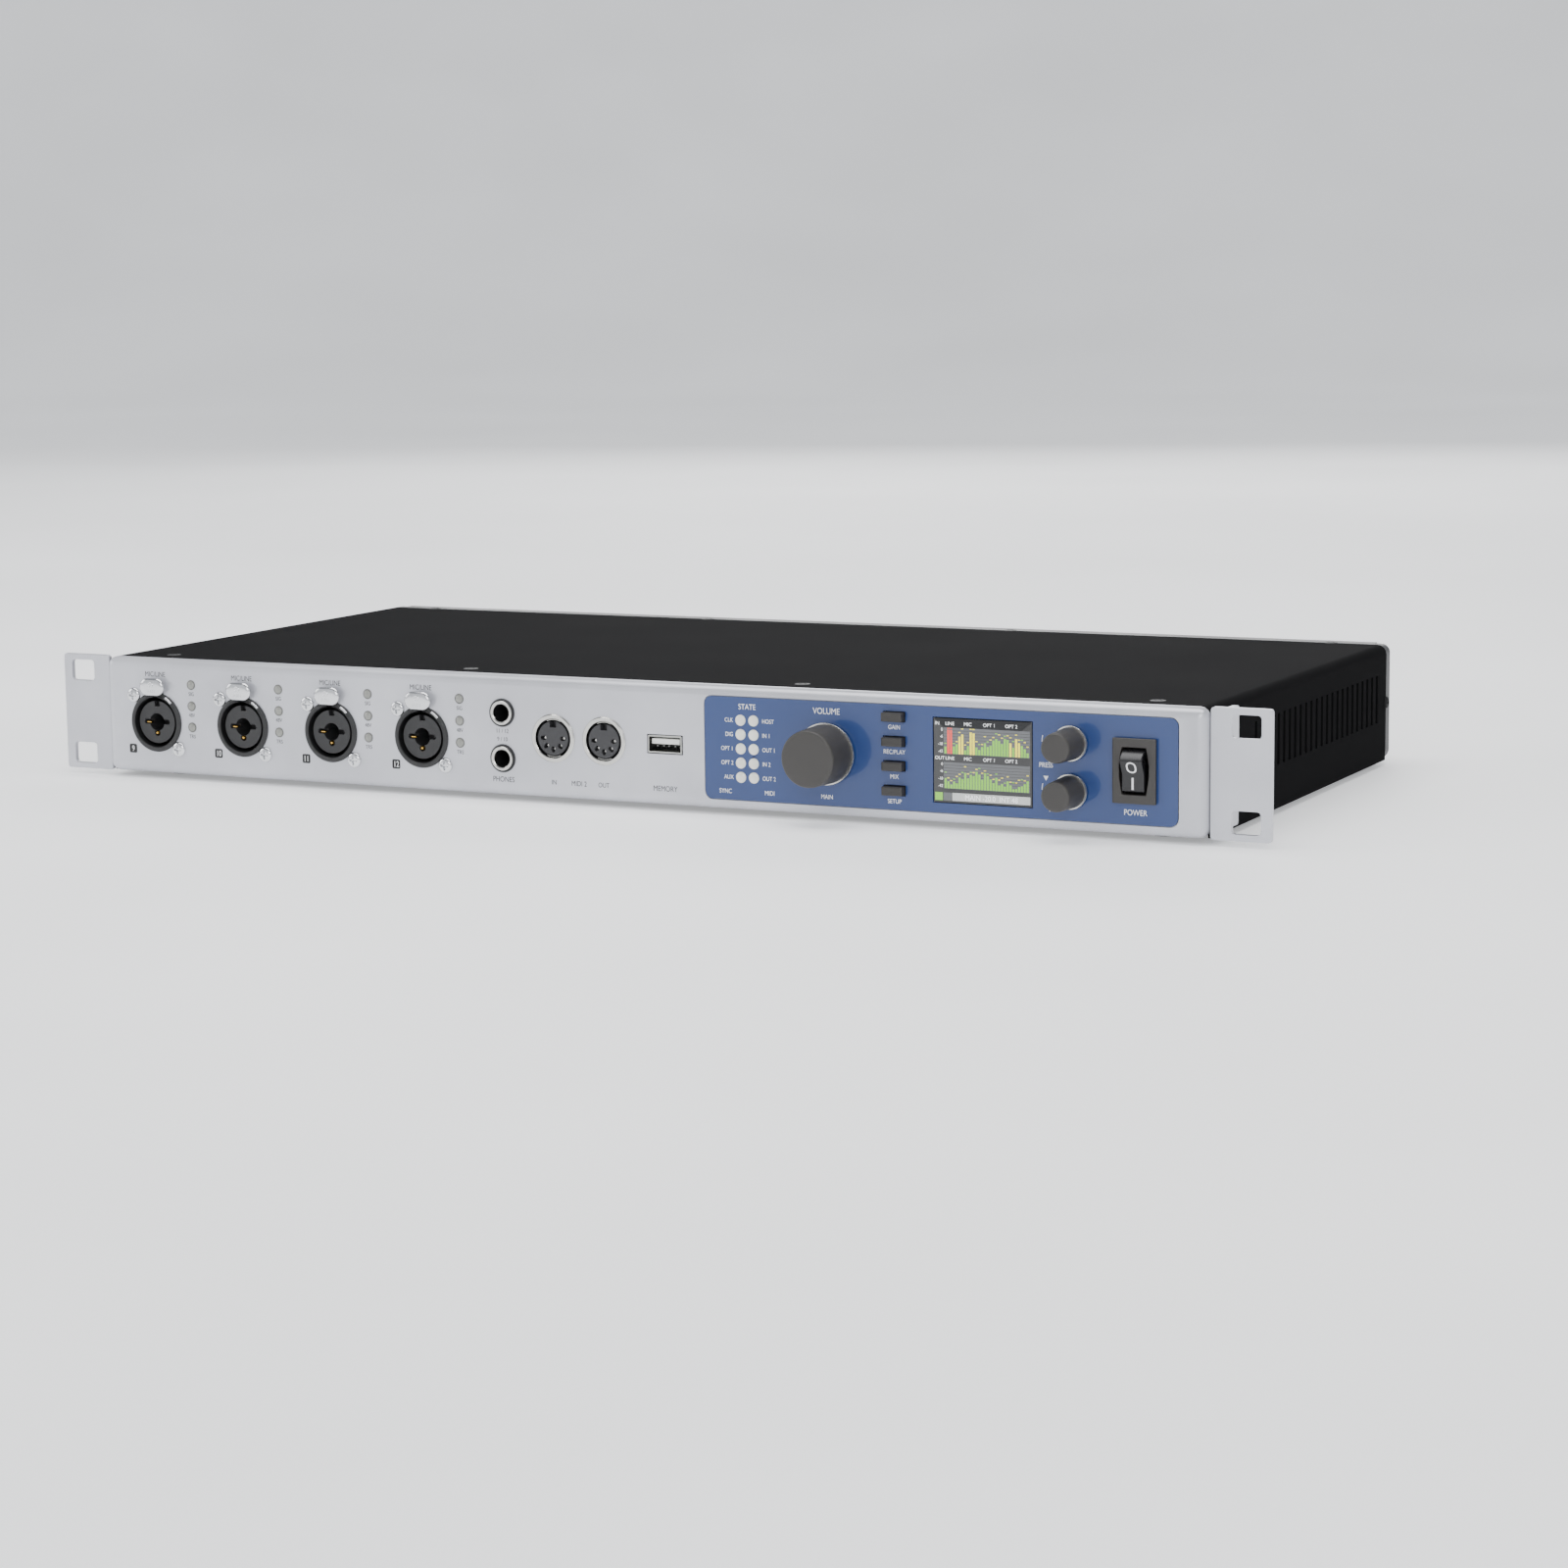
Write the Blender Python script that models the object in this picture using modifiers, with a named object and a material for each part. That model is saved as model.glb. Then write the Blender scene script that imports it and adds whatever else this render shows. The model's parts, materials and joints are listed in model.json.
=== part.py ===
"""A rack-mounted audio interface, one unit high, as an assembly of separate solids.

Metres, +Z up, +X to the right as seen from the front, front face towards -Y.
The origin lies under the middle of the overall box, on the surface that the feet stand on.
Every piece hangs on the empty "unit_frame", whose origin is the middle of the rack ears' front
plane at half the body's height, so the sizes below are measured from that plane.
"""

import math
from collections import namedtuple

import bmesh
import bpy
from mathutils import Matrix, Vector

# ---- Clearances ---------------------------------------------------------------------------
GAP = 0.0003                    # between two pieces that touch or sit in each other
OVERCUT = 0.0010                # how far a cutter runs past the face it opens
BOND = 0.0010                   # how far joined shapes reach into each other

# ---- Body ---------------------------------------------------------------------------------
BODY_WIDTH = 0.4400
BODY_HEIGHT = 0.0436
BODY_DEPTH = 0.2050             # ear plane to the rear panel's face
FOOT_LIFT = 0.0022              # body's underside above the surface
EDGE_RADIUS = 0.0036            # long edges of the body

PANEL_PROUD = 0.0030            # front panel's face ahead of the ear plane
PANEL_DEPTH = 0.0042
PANEL_PLATE = 0.0022            # what the pocket leaves of the front panel
PANEL_RIM = 0.0030

COVER_SHEET = 0.0010
TRAY_SHEET = 0.0012
TRAY_WALL = 0.0090
STUD_HEIGHT = 0.0060
STUD_RADIUS = 0.0025

REAR_PLATE = 0.0018
REAR_RIM_DEPTH = 0.0058         # how far the rear panel's rim reaches forwards
REAR_RIM = 0.0012
POST_RADIUS = 0.0035            # round posts at the rear panel's ends
POST_PROUD = 0.0020
REAR_GROOVE = 0.0007
CORD_SCREW_RADIUS = 0.0013      # hole in each side of the rear rim

VENT_COUNT = 24
VENT_PITCH = 0.0061
VENT_WIDTH = 0.0024
VENT_HEIGHT = 0.0180
VENT_REAR_INSET = 0.0177        # last slot's middle ahead of the rear face
VENT_Z = 0.0024

FOOT_RADIUS = 0.0065
FOOT_SIDE_INSET = 0.0210
FOOT_END_INSET = 0.0180

# ---- Rack ears ----------------------------------------------------------------------------
EAR_HEIGHT = 0.0440
EAR_FLANGE = 0.0213             # body's side to the ear's outer edge
EAR_SHEET = 0.0020
EAR_LEAF = 0.0226               # depth of the leaf along the body's side
EAR_LEAF_HEIGHT = 0.0400
EAR_CORNER = 0.0010
RACK_HOLE_INSET = 0.00875       # hole's middle from the ear's outer edge
RACK_HOLE_SPACING = 0.03175
RACK_HOLE_WIDTH = 0.0102
RACK_HOLE_HEIGHT = 0.0078
RACK_HOLE_CORNER = 0.0012
EAR_SCREW_RADIUS = 0.0022
EAR_SCREW_Y = 0.0126
EAR_SCREW_SPACING = 0.0290

# ---- Blue control overlay and what it carries; X insets count from the panel's right end ---
OVERLAY_INSET = 0.0098
OVERLAY_WIDTH = 0.1744
OVERLAY_HEIGHT = 0.0361
OVERLAY_RADIUS = 0.0027
OVERLAY_SHEET = 0.0008
OVERLAY_PROUD = 0.0002

GUIDE_INSETS = (0.1702, 0.1652)  # two columns of light guides
GUIDE_ROWS = 5
GUIDE_PITCH = 0.0050
GUIDE_RADIUS = 0.0016

SHAFT_CLEARANCE = 0.0004
PUSH_TRAVEL = 0.0005
VOLUME_INSET = 0.1372
VOLUME_RADIUS = 0.0104
VOLUME_SHAFT = 0.0030
ENCODER_INSET = 0.0473
ENCODER_SPACING = 0.0162
ENCODER_RADIUS = 0.0056
ENCODER_SHAFT = 0.0024
KNOB_REACH = 0.0162             # volume knob's face ahead of the panel's face
ENCODER_REACH = 0.0152
KNOB_TAPER = 0.0005
KNOB_SKIRT = 0.0006             # how far the base ring stands out of the knob
KNOB_SKIRT_DEPTH = 0.0012
STEM_RADIUS = 0.0018
STEM_CLEARANCE = 0.0004
STEM_LENGTH = 0.0040

BUTTON_INSET = 0.11175
BUTTON_COUNT = 4
BUTTON_PITCH = 0.00845
BUTTON_TOP_Z = 0.01395
BUTTON_WIDTH = 0.0077
BUTTON_HEIGHT = 0.0031
BUTTON_REACH = 0.0030
BUTTON_BEVEL = 0.0003
BUTTON_FLANGE = 0.0007

DISPLAY_INSET = 0.07925
DISPLAY_WIDTH = 0.0358
DISPLAY_HEIGHT = 0.0287
DISPLAY_BODY_MARGIN = 0.0028
DISPLAY_BODY_DEPTH = 0.0035

POWER_INSET = 0.0246
BEZEL_WIDTH = 0.0152
BEZEL_HEIGHT = 0.0218
BEZEL_PROUD = 0.0015
BEZEL_LIP = 0.0013              # how far the bezel covers its cut-out
WELL_WIDTH = 0.0084
WELL_BULGE = 0.0009             # how much the well widens at mid-height, on each side
WELL_HEIGHT = 0.0156
WELL_DEPTH = 0.0145
POWER_BODY_DEPTH = 0.0180
ROCKER_PIVOT_DEPTH = 0.0030     # behind the bezel's face
ROCKER_WAIST = 0.0040           # pivot to the middle of the rocker's face
ROCKER_TILT = math.radians(14.7)

FRONT_BOARD_Y = 0.0080
BOARD_SHEET = 0.0016
FRONT_BOARD_HEIGHT = 0.0340
ENCODER_BLOCK = 0.0110
ENCODER_BLOCK_DEPTH = 0.0038
SWITCH_BLOCK = 0.0046
SWITCH_BLOCK_DEPTH = 0.0041

# ---- Front sockets; X insets count from the panel's left end --------------------------------
COMBO_COUNT = 4
COMBO_INSET = 0.0230
COMBO_PITCH = 0.0390
COMBO_Z = -0.0022
COMBO_COLLAR = 0.0108
COMBO_PROUD = 0.0010
COMBO_BODY_DEPTH = 0.0270
COMBO_BODY_HALF = 0.0125
INSERT_RADIUS = 0.0075
GROOVE_RADIUS = 0.0096
GROOVE_DEPTH = 0.0120
PHONE_BORE = 0.0032
PHONE_BORE_DEPTH = 0.0200

LATCH_WIDTH = 0.0108
LATCH_HEIGHT = 0.0066
LATCH_SHEET = 0.0014
LATCH_REACH = 0.0018            # tab's back ahead of the panel's face
LATCH_NECK_WIDTH = 0.0060
LATCH_NECK = 0.0016
LATCH_RISE = 0.0008             # neck above the collar
LATCH_NECK_END = 0.0070         # behind the panel's face
LATCH_CLEARANCE = 0.0004
LATCH_TRAVEL = 0.0014

PHONES_INSET = 0.1740
PHONES_SPACING = 0.0165
PHONES_COLLAR = 0.0048
JACK_PROUD = 0.0010
JACK_BODY_HALF = 0.0070
JACK_BODY_DEPTH = 0.0210

FRONT_MIDI_INSET = 0.1949
MIDI_PITCH = 0.0206
FRONT_MIDI_COLLAR = 0.0083
MIDI_PROUD = 0.0004
MIDI_GROOVE_OUTER = 0.0069
MIDI_GROOVE_INNER = 0.0060
MIDI_GROOVE_DEPTH = 0.0060
MIDI_BODY_HALF = 0.0094
MIDI_BODY_DEPTH = 0.0150

MEMORY_INSET = 0.2399
MEMORY_WIDTH = 0.0136
MEMORY_HEIGHT = 0.0063
PORT_WALL = 0.0007
PORT_PROUD = 0.0002
PORT_CAVITY_DEPTH = 0.0090
PORT_BODY_DEPTH = 0.0140
TONGUE = 0.0016

# ---- Rear sockets next to the mains inlet; X insets count from the body's right end ----------
INLET_INSET = 0.0342
INLET_Z = -0.0022
INLET_WIDTH = 0.0308
INLET_HEIGHT = 0.0231
INLET_PROUD = 0.0014
INLET_LIP = 0.0016
INLET_CAVITY_WIDTH = 0.0240
INLET_CAVITY_HEIGHT = 0.0162
INLET_CHAMFER = 0.0036
INLET_CAVITY_DEPTH = 0.0160
INLET_BODY_DEPTH = 0.0220
INLET_PIN_WIDTH = 0.0020
INLET_PIN_HEIGHT = 0.0040
INLET_PIN_SPACING = 0.0140
INLET_PIN_RISE = 0.0030
INLET_PIN_RECESS = 0.0030

RETAINER_INSET = 0.0573
RETAINER_Z = 0.0124
RETAINER_LOOP = 0.0088
RETAINER_WIRE = 0.0011
RETAINER_SHIFT = 0.0057         # loop's middle from the nut, away from the mains inlet
RETAINER_STANDOFF = 0.0076      # loop's middle behind the rear face
RETAINER_SAG = 0.0020           # loop's level under the nut
RETAINER_LEG = 0.0154           # free end from the nut, close to the rear face
RETAINER_NUT = 0.0036           # to a corner
RETAINER_NUT_DEPTH = 0.0030

REAR_MIDI_INSET = 0.1132
REAR_MIDI_Z = -0.0036
REAR_MIDI_COLLAR = 0.0079

HOST_INSET = 0.1534
HOST_Z = -0.0083
HOST_WIDTH = 0.0124
HOST_HEIGHT = 0.0115
HOST_WALL = 0.0017
HOST_CHAMFER = 0.0016

REMOTE_INSET = 0.1683
REMOTE_Z = -0.0063
REMOTE_WIDTH = 0.0070
REMOTE_HEIGHT = 0.0147

OPTICAL_INSET = 0.1628
OPTICAL_PITCH = 0.0134
OPTICAL_Z = 0.0095
OPTICAL_PROUD = 0.0001
SHUTTER_WIDTH = 0.0082
SHUTTER_HEIGHT = 0.0086
SHUTTER_CHAMFER = 0.0024
SHUTTER_SHEET = 0.0008
SHUTTER_RECESS = 0.0005
SHUTTER_PIVOT_DROP = 0.0005
OPTICAL_WALL = 0.0009
OPTICAL_CAVITY_DEPTH = 0.0125
OPTICAL_BODY_DEPTH = 0.0150

CLOCK_INSET = 0.1844
CLOCK_PITCH = 0.0169
CLOCK_Z = -0.0071
CLOCK_REACH = 0.0178
CLOCK_BARREL = 0.0048
CLOCK_BORE = 0.0041
CLOCK_BORE_DEPTH = 0.0080
CLOCK_CORE = 0.0021
CLOCK_PIN = 0.0008
CLOCK_PIN_RECESS = 0.0018
CLOCK_CORE_RECESS = 0.0026
CLOCK_WASHER = 0.0083
CLOCK_WASHER_SHEET = 0.0006
CLOCK_NUT = 0.0079
CLOCK_NUT_DEPTH = 0.0027
CLOCK_LUG = 0.0010
CLOCK_LUG_REACH = 0.0060
CLOCK_LUG_BACK = 0.0050         # lug's middle behind the mouth
CLOCK_BODY_DEPTH = 0.0110

DIGITAL_OUT_INSET = 0.2289
DIGITAL_IN_INSET = 0.2545

# ---- Rear sockets at the far end; X insets count from the body's left end --------------------
REAR_XLR_Z = -0.0014
REAR_XLR_COLLAR = 0.0110
REAR_XLR_PROUD = 0.0003
XLR_CAVITY = 0.0080
XLR_CAVITY_DEPTH = 0.0140
XLR_PIN = 0.0012
XLR_PIN_CIRCLE = 0.00415
XLR_PIN_RECESS = 0.0030
XLR_BODY_HALF = 0.0123
XLR_BODY_DEPTH = 0.0210

LINE_IN_INSET = 0.0138
LINE_PITCH = 0.01587
LINE_IN_COUNT = 4
LINE_OUT_COUNT = 3
LINE_OUT_INSET = 0.1311
LINE_Z = 0.0009
LINE_ROW_SPACING = 0.0164
LINE_COLLAR = 0.0046
MAIN_OUT_INSETS = (0.0831, 0.1083)

# ---- Boards inside --------------------------------------------------------------------------
BOARD_SIDE_INSET = 0.0060
BOARD_FRONT_Y = 0.0300
BOARD_REAR_ROOM = 0.0330        # board's rear edge ahead of the rear face
SUPPLY_WIDTH = 0.0920
BOARD_SPACE = 0.0060
CHIP_WIDTH = 0.0240
CHIP_HEIGHT = 0.0030
TRANSFORMER = (0.0320, 0.0300, 0.0200)
CAPACITOR_RADIUS = 0.0080
CAPACITOR_HEIGHT = 0.0220

# ---- Places worked out from the sizes above ---------------------------------------------------
LEFT = -BODY_WIDTH / 2
RIGHT = BODY_WIDTH / 2
TOP = BODY_HEIGHT / 2
BOTTOM = -BODY_HEIGHT / 2
PANEL_BACK = PANEL_DEPTH - PANEL_PROUD
RIM_FRONT = BODY_DEPTH - REAR_RIM_DEPTH
RETAINER_REACH = RETAINER_STANDOFF + RETAINER_LOOP + RETAINER_WIRE
FRONT_REACH = PANEL_PROUD + KNOB_REACH
REAR_REACH = BODY_DEPTH + max(RETAINER_REACH, CLOCK_REACH)

Side = namedtuple("Side", "face out plate")
FRONT = Side(face=-PANEL_PROUD, out=-1, plate=PANEL_PLATE)
REAR = Side(face=BODY_DEPTH, out=1, plate=REAR_PLATE)

# Which way a flat outline's plane faces once it stands in the object
FACING_X = Matrix(((0, 0, 1, 0), (1, 0, 0, 0), (0, 1, 0, 0), (0, 0, 0, 1)))
FACING_Y = Matrix(((1, 0, 0, 0), (0, 0, 1, 0), (0, 1, 0, 0), (0, 0, 0, 1)))

FINISHES = {
    "black_powder_coat": ((0.020, 0.020, 0.021), 0.55, 0.0),
    "grey_powder_coat": ((0.050, 0.050, 0.052), 0.50, 0.0),
    "silver_paint": ((0.55, 0.56, 0.58), 0.42, 0.3),
    "blue_print": ((0.060, 0.130, 0.300), 0.20, 0.0),
    "zinc_plate": ((0.62, 0.62, 0.62), 0.35, 1.0),
    "chrome": ((0.80, 0.80, 0.80), 0.12, 1.0),
    "black_plastic": ((0.018, 0.018, 0.018), 0.40, 0.0),
    "knob_plastic": ((0.055, 0.055, 0.053), 0.50, 0.0),
    "rubber": ((0.015, 0.015, 0.015), 0.80, 0.0),
    "display_glass": ((0.010, 0.010, 0.012), 0.08, 0.0),
    "circuit_board": ((0.020, 0.110, 0.045), 0.45, 0.0),
    "clear_grey_plastic": ((0.45, 0.45, 0.45), 0.40, 0.0),
}


# ---- Scene and object helpers -------------------------------------------------------------------
def clear_scene():
    """Removes every object that the file opened with."""
    for obj in list(bpy.data.objects):
        bpy.data.objects.remove(obj, do_unlink=True)


def new_collection(name):
    collection = bpy.data.collections.new(name)
    bpy.context.scene.collection.children.link(collection)
    return collection


def finish_of(name):
    """Returns the named surface finish as a material of its own for one piece."""
    colour, roughness, metallic = FINISHES[name]
    material = bpy.data.materials.new(name)
    material.use_nodes = True
    shader = material.node_tree.nodes["Principled BSDF"]
    shader.inputs["Base Color"].default_value = (*colour, 1.0)
    shader.inputs["Roughness"].default_value = roughness
    shader.inputs["Metallic"].default_value = metallic
    return material


def to_object(name, bm, origin, finish=None):
    """Makes an object from a bmesh; with a finish it is a piece, without one a cutter or helper."""
    bmesh.ops.translate(bm, vec=-Vector(origin), verts=bm.verts)
    mesh = bpy.data.meshes.new(name)
    bm.to_mesh(mesh)
    bm.free()
    obj = bpy.data.objects.new(name, mesh)
    return adopt(obj, origin, finish)


def adopt(obj, origin, finish):
    obj.location = origin
    obj.parent = FRAME
    if finish:
        PIECES.objects.link(obj)
        obj.data.materials.append(finish_of(finish))
        obj.data.shade_smooth()
        obj.data.set_sharp_from_angle(angle=math.radians(40))
    else:
        CUTTERS.objects.link(obj)
        obj.hide_render = True
        obj.display_type = "WIRE"
    return obj


def combine(target, other, operation):
    """Adds a Boolean of the other object to the target."""
    modifier = target.modifiers.new(other.name, "BOOLEAN")
    modifier.operation = operation
    modifier.solver = "EXACT"
    modifier.object = other


def cut(target, cutter):
    combine(target, cutter, "DIFFERENCE")


def fuse(target, other):
    combine(target, other, "UNION")


# ---- Shape helpers --------------------------------------------------------------------------------
def add_block(bm, low, high):
    """Adds a box between two corners and returns its vertices."""
    low = Vector(low)
    high = Vector(high)
    size = high - low
    matrix = Matrix.Translation((low + high) / 2) @ Matrix.Diagonal((*size, 1.0))
    return bmesh.ops.create_cube(bm, size=1.0, matrix=matrix)["verts"]


def add_rod(bm, axis, centre, radius, length, sides, end_radius=None):
    """Adds a closed cylinder or cone along X, Y or Z; the end radius is on the positive side."""
    turns = {
        "X": Matrix.Rotation(math.radians(90), 4, "Y"),
        "Y": Matrix.Rotation(math.radians(-90), 4, "X"),
        "Z": Matrix.Identity(4),
    }
    if end_radius is None:
        end_radius = radius
    bmesh.ops.create_cone(bm, cap_ends=True, segments=sides, radius1=radius, radius2=end_radius,
                          depth=length, matrix=Matrix.Translation(centre) @ turns[axis])


def edges_along(bm, axis):
    """Lists the edges that run along one axis, 0 for X, 1 for Y and 2 for Z."""
    found = []
    for edge in bm.edges:
        step = edge.verts[1].co - edge.verts[0].co
        if abs(step[axis]) > 0.999 * step.length:
            found.append(edge)
    return found


def round_over(bm, edges, radius, segments):
    bmesh.ops.bevel(bm, geom=edges, offset=radius, segments=segments, profile=0.5,
                    affect="EDGES", clamp_overlap=True)


def depths(side, near, far):
    """Returns the Y range between two distances measured outwards from a panel's face."""
    ends = (side.face + side.out * near, side.face + side.out * far)
    return min(ends), max(ends)


def block_on(bm, side, x_range, z_range, near, far):
    """Adds a box at a panel, between two distances outwards from its face."""
    y_low, y_high = depths(side, near, far)
    return add_block(bm, (x_range[0], y_low, z_range[0]), (x_range[1], y_high, z_range[1]))


def rod_on(bm, side, x, z, radius, near, far, sides):
    """Adds a cylinder at a panel, square to its face."""
    y_low, y_high = depths(side, near, far)
    add_rod(bm, "Y", (x, (y_low + y_high) / 2, z), radius, y_high - y_low, sides)


def around(middle, size):
    return middle - size / 2, middle + size / 2


def behind(side):
    """The distance, counted outwards, at which a piece sits behind its panel's plate."""
    return -(side.plate + GAP)


def turned(name, profile, sides, origin, finish=None):
    """Turns a profile of (radius, Y) points about an axis along Y, from the +Y end to the -Y end."""
    mesh = bpy.data.meshes.new(name)
    corners = [(radius, 0.0, height) for radius, height in profile]
    edges = [(index, index + 1) for index in range(len(profile) - 1)]
    on_axis = profile[0][0] == 0.0
    if not on_axis:
        edges.append((len(profile) - 1, 0))
    mesh.from_pydata(corners, edges, [])
    obj = adopt(bpy.data.objects.new(name, mesh), origin, finish)
    obj.rotation_euler = (math.radians(-90), 0.0, 0.0)
    screw = obj.modifiers.new("turn", "SCREW")
    screw.axis = "Z"
    screw.steps = sides
    screw.render_steps = sides
    screw.use_merge_vertices = True
    screw.merge_threshold = 0.00001
    screw.use_smooth_shade = True
    return obj


def ring_cutter(name, side, x, z, inner, outer, near, far, sides):
    """A turned ring that cuts a round groove into a socket's face."""
    y_low, y_high = depths(side, near, far)
    profile = [(outer, y_high), (outer, y_low), (inner, y_low), (inner, y_high)]
    return turned(name, profile, sides, (x, 0.0, z))


def solid_of(guide, name, turn, origin, finish):
    """Turns a curve guide into a mesh object with welded caps and removes the guide."""
    CUTTERS.objects.link(guide)
    bpy.context.view_layer.update()
    evaluated = guide.evaluated_get(bpy.context.evaluated_depsgraph_get())
    mesh = bpy.data.meshes.new_from_object(evaluated)
    bpy.data.objects.remove(guide)
    bm = bmesh.new()
    bm.from_mesh(mesh)
    bmesh.ops.remove_doubles(bm, verts=bm.verts, dist=0.00001)
    bmesh.ops.transform(bm, matrix=turn, verts=bm.verts)
    bmesh.ops.recalc_face_normals(bm, faces=bm.faces)
    bm.to_mesh(mesh)
    bm.free()
    mesh.name = name
    return adopt(bpy.data.objects.new(name, mesh), origin, finish)


def flat_prism(name, outline, thickness, turn, origin, finish=None):
    """Extrudes a flat outline to both sides; the turn maps its plane into the object's axes."""
    curve = bpy.data.curves.new(name, "CURVE")
    curve.dimensions = "2D"
    curve.fill_mode = "BOTH"
    curve.extrude = thickness / 2
    spline = curve.splines.new("POLY")
    spline.points.add(len(outline) - 1)
    for point, (across, up) in zip(spline.points, outline):
        point.co = (across, up, 0.0, 1.0)
    spline.use_cyclic_u = True
    return solid_of(bpy.data.objects.new(name + "_outline", curve), name, turn, origin, finish)


def wire(name, path, radius, origin, finish):
    """A round wire along a path that is counted from the origin."""
    curve = bpy.data.curves.new(name, "CURVE")
    curve.dimensions = "3D"
    curve.bevel_depth = radius
    curve.bevel_resolution = 2
    curve.use_fill_caps = True
    spline = curve.splines.new("POLY")
    spline.points.add(len(path) - 1)
    for point, place in zip(spline.points, path):
        point.co = (*place, 1.0)
    guide = bpy.data.objects.new(name + "_path", curve)
    return solid_of(guide, name, Matrix.Identity(4), origin, finish)


# ---- Places of repeated pieces --------------------------------------------------------------------
def combo_places():
    return [LEFT + COMBO_INSET + index * COMBO_PITCH for index in range(COMBO_COUNT)]


def front_midi_places():
    return [LEFT + FRONT_MIDI_INSET + index * MIDI_PITCH for index in range(2)]


def rear_midi_places():
    return [RIGHT - REAR_MIDI_INSET - index * MIDI_PITCH for index in range(2)]


def phones_heights():
    return [PHONES_SPACING / 2, -PHONES_SPACING / 2]


def guide_places():
    """The light guides' X and Z, column by column."""
    heights = [(GUIDE_ROWS - 1) / 2 * GUIDE_PITCH - row * GUIDE_PITCH for row in range(GUIDE_ROWS)]
    return [(RIGHT - inset, height) for inset in GUIDE_INSETS for height in heights]


def button_heights():
    return [BUTTON_TOP_Z - index * BUTTON_PITCH for index in range(BUTTON_COUNT)]


def encoder_places():
    """Each push encoder: name, X, Z, knob radius, shaft radius and reach ahead of the panel."""
    x = RIGHT - ENCODER_INSET
    half = ENCODER_SPACING / 2
    return [
        ("volume", RIGHT - VOLUME_INSET, 0.0, VOLUME_RADIUS, VOLUME_SHAFT, KNOB_REACH),
        ("upper_encoder", x, half, ENCODER_RADIUS, ENCODER_SHAFT, ENCODER_REACH),
        ("lower_encoder", x, -half, ENCODER_RADIUS, ENCODER_SHAFT, ENCODER_REACH),
    ]


def optical_places():
    """The four optical ports' X, from the mains inlet's side, two to a housing."""
    return [RIGHT - OPTICAL_INSET - index * OPTICAL_PITCH for index in range(4)]


def clock_places():
    return [RIGHT - CLOCK_INSET - index * CLOCK_PITCH for index in range(2)]


def line_places(inset, count):
    return [LEFT + inset + index * LINE_PITCH for index in range(count)]


def line_heights():
    return [LINE_Z + LINE_ROW_SPACING / 2, LINE_Z - LINE_ROW_SPACING / 2]


def male_places():
    """The three three-pin outputs: one digital and two analogue."""
    return [RIGHT - DIGITAL_OUT_INSET] + [LEFT + inset for inset in MAIN_OUT_INSETS]


def digital_in_x():
    return RIGHT - DIGITAL_IN_INSET


def overlay_box():
    right = RIGHT - OVERLAY_INSET
    return (right - OVERLAY_WIDTH, right), around(0.0, OVERLAY_HEIGHT)


def latch_spot(collar):
    """Height of a latch's neck and of its tab's middle above the socket's middle."""
    neck = collar + LATCH_RISE + LATCH_NECK / 2
    return neck, neck + LATCH_HEIGHT / 6


# ---- Panels and covers -------------------------------------------------------------------------------
def control_openings(name):
    """The holes that the front panel and the overlay share, as two cutters."""
    round_holes = bmesh.new()
    for _, x, z, _, shaft, _ in encoder_places():
        rod_on(round_holes, FRONT, x, z, shaft + SHAFT_CLEARANCE, OVERCUT, -PANEL_DEPTH, 16)
    for x, z in guide_places():
        rod_on(round_holes, FRONT, x, z, GUIDE_RADIUS + GAP, OVERCUT, -PANEL_DEPTH, 8)
    square_holes = bmesh.new()
    for z in button_heights():
        x_range = around(RIGHT - BUTTON_INSET, BUTTON_WIDTH + 2 * GAP)
        z_range = around(z, BUTTON_HEIGHT + 2 * GAP)
        block_on(square_holes, FRONT, x_range, z_range, OVERCUT, -PANEL_DEPTH)
    x_range = around(RIGHT - DISPLAY_INSET, DISPLAY_WIDTH + 2 * GAP)
    z_range = around(0.0, DISPLAY_HEIGHT + 2 * GAP)
    block_on(square_holes, FRONT, x_range, z_range, OVERCUT, -PANEL_DEPTH)
    x_range = around(RIGHT - POWER_INSET, BEZEL_WIDTH - 2 * BEZEL_LIP + 2 * GAP)
    z_range = around(0.0, BEZEL_HEIGHT - 2 * BEZEL_LIP + 2 * GAP)
    block_on(square_holes, FRONT, x_range, z_range, OVERCUT, -PANEL_DEPTH)
    return [to_object(name + "_round_holes", round_holes, (0, 0, 0)),
            to_object(name + "_square_holes", square_holes, (0, 0, 0))]


def socket_openings(name, side, sockets, deep):
    """Round holes for sockets, each (X, Z, collar radius, sides), as one cutter."""
    bm = bmesh.new()
    for x, z, collar, sides in sockets:
        rod_on(bm, side, x, z, collar + GAP, deep, -deep, sides)
    return to_object(name + "_socket_holes", bm, (0, 0, 0))


def latch_notches(name, side, places, z, collar):
    """The notch above each latched socket that its latch's neck moves in."""
    neck, _ = latch_spot(collar)
    z_range = (z + collar - BOND, z + neck + LATCH_NECK / 2 + LATCH_CLEARANCE)
    bm = bmesh.new()
    for x in places:
        x_range = around(x, LATCH_NECK_WIDTH + 2 * LATCH_CLEARANCE)
        block_on(bm, side, x_range, z_range, OVERCUT, -side.plate - OVERCUT)
    return to_object(name + "_latch_notches", bm, (0, 0, 0))


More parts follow.
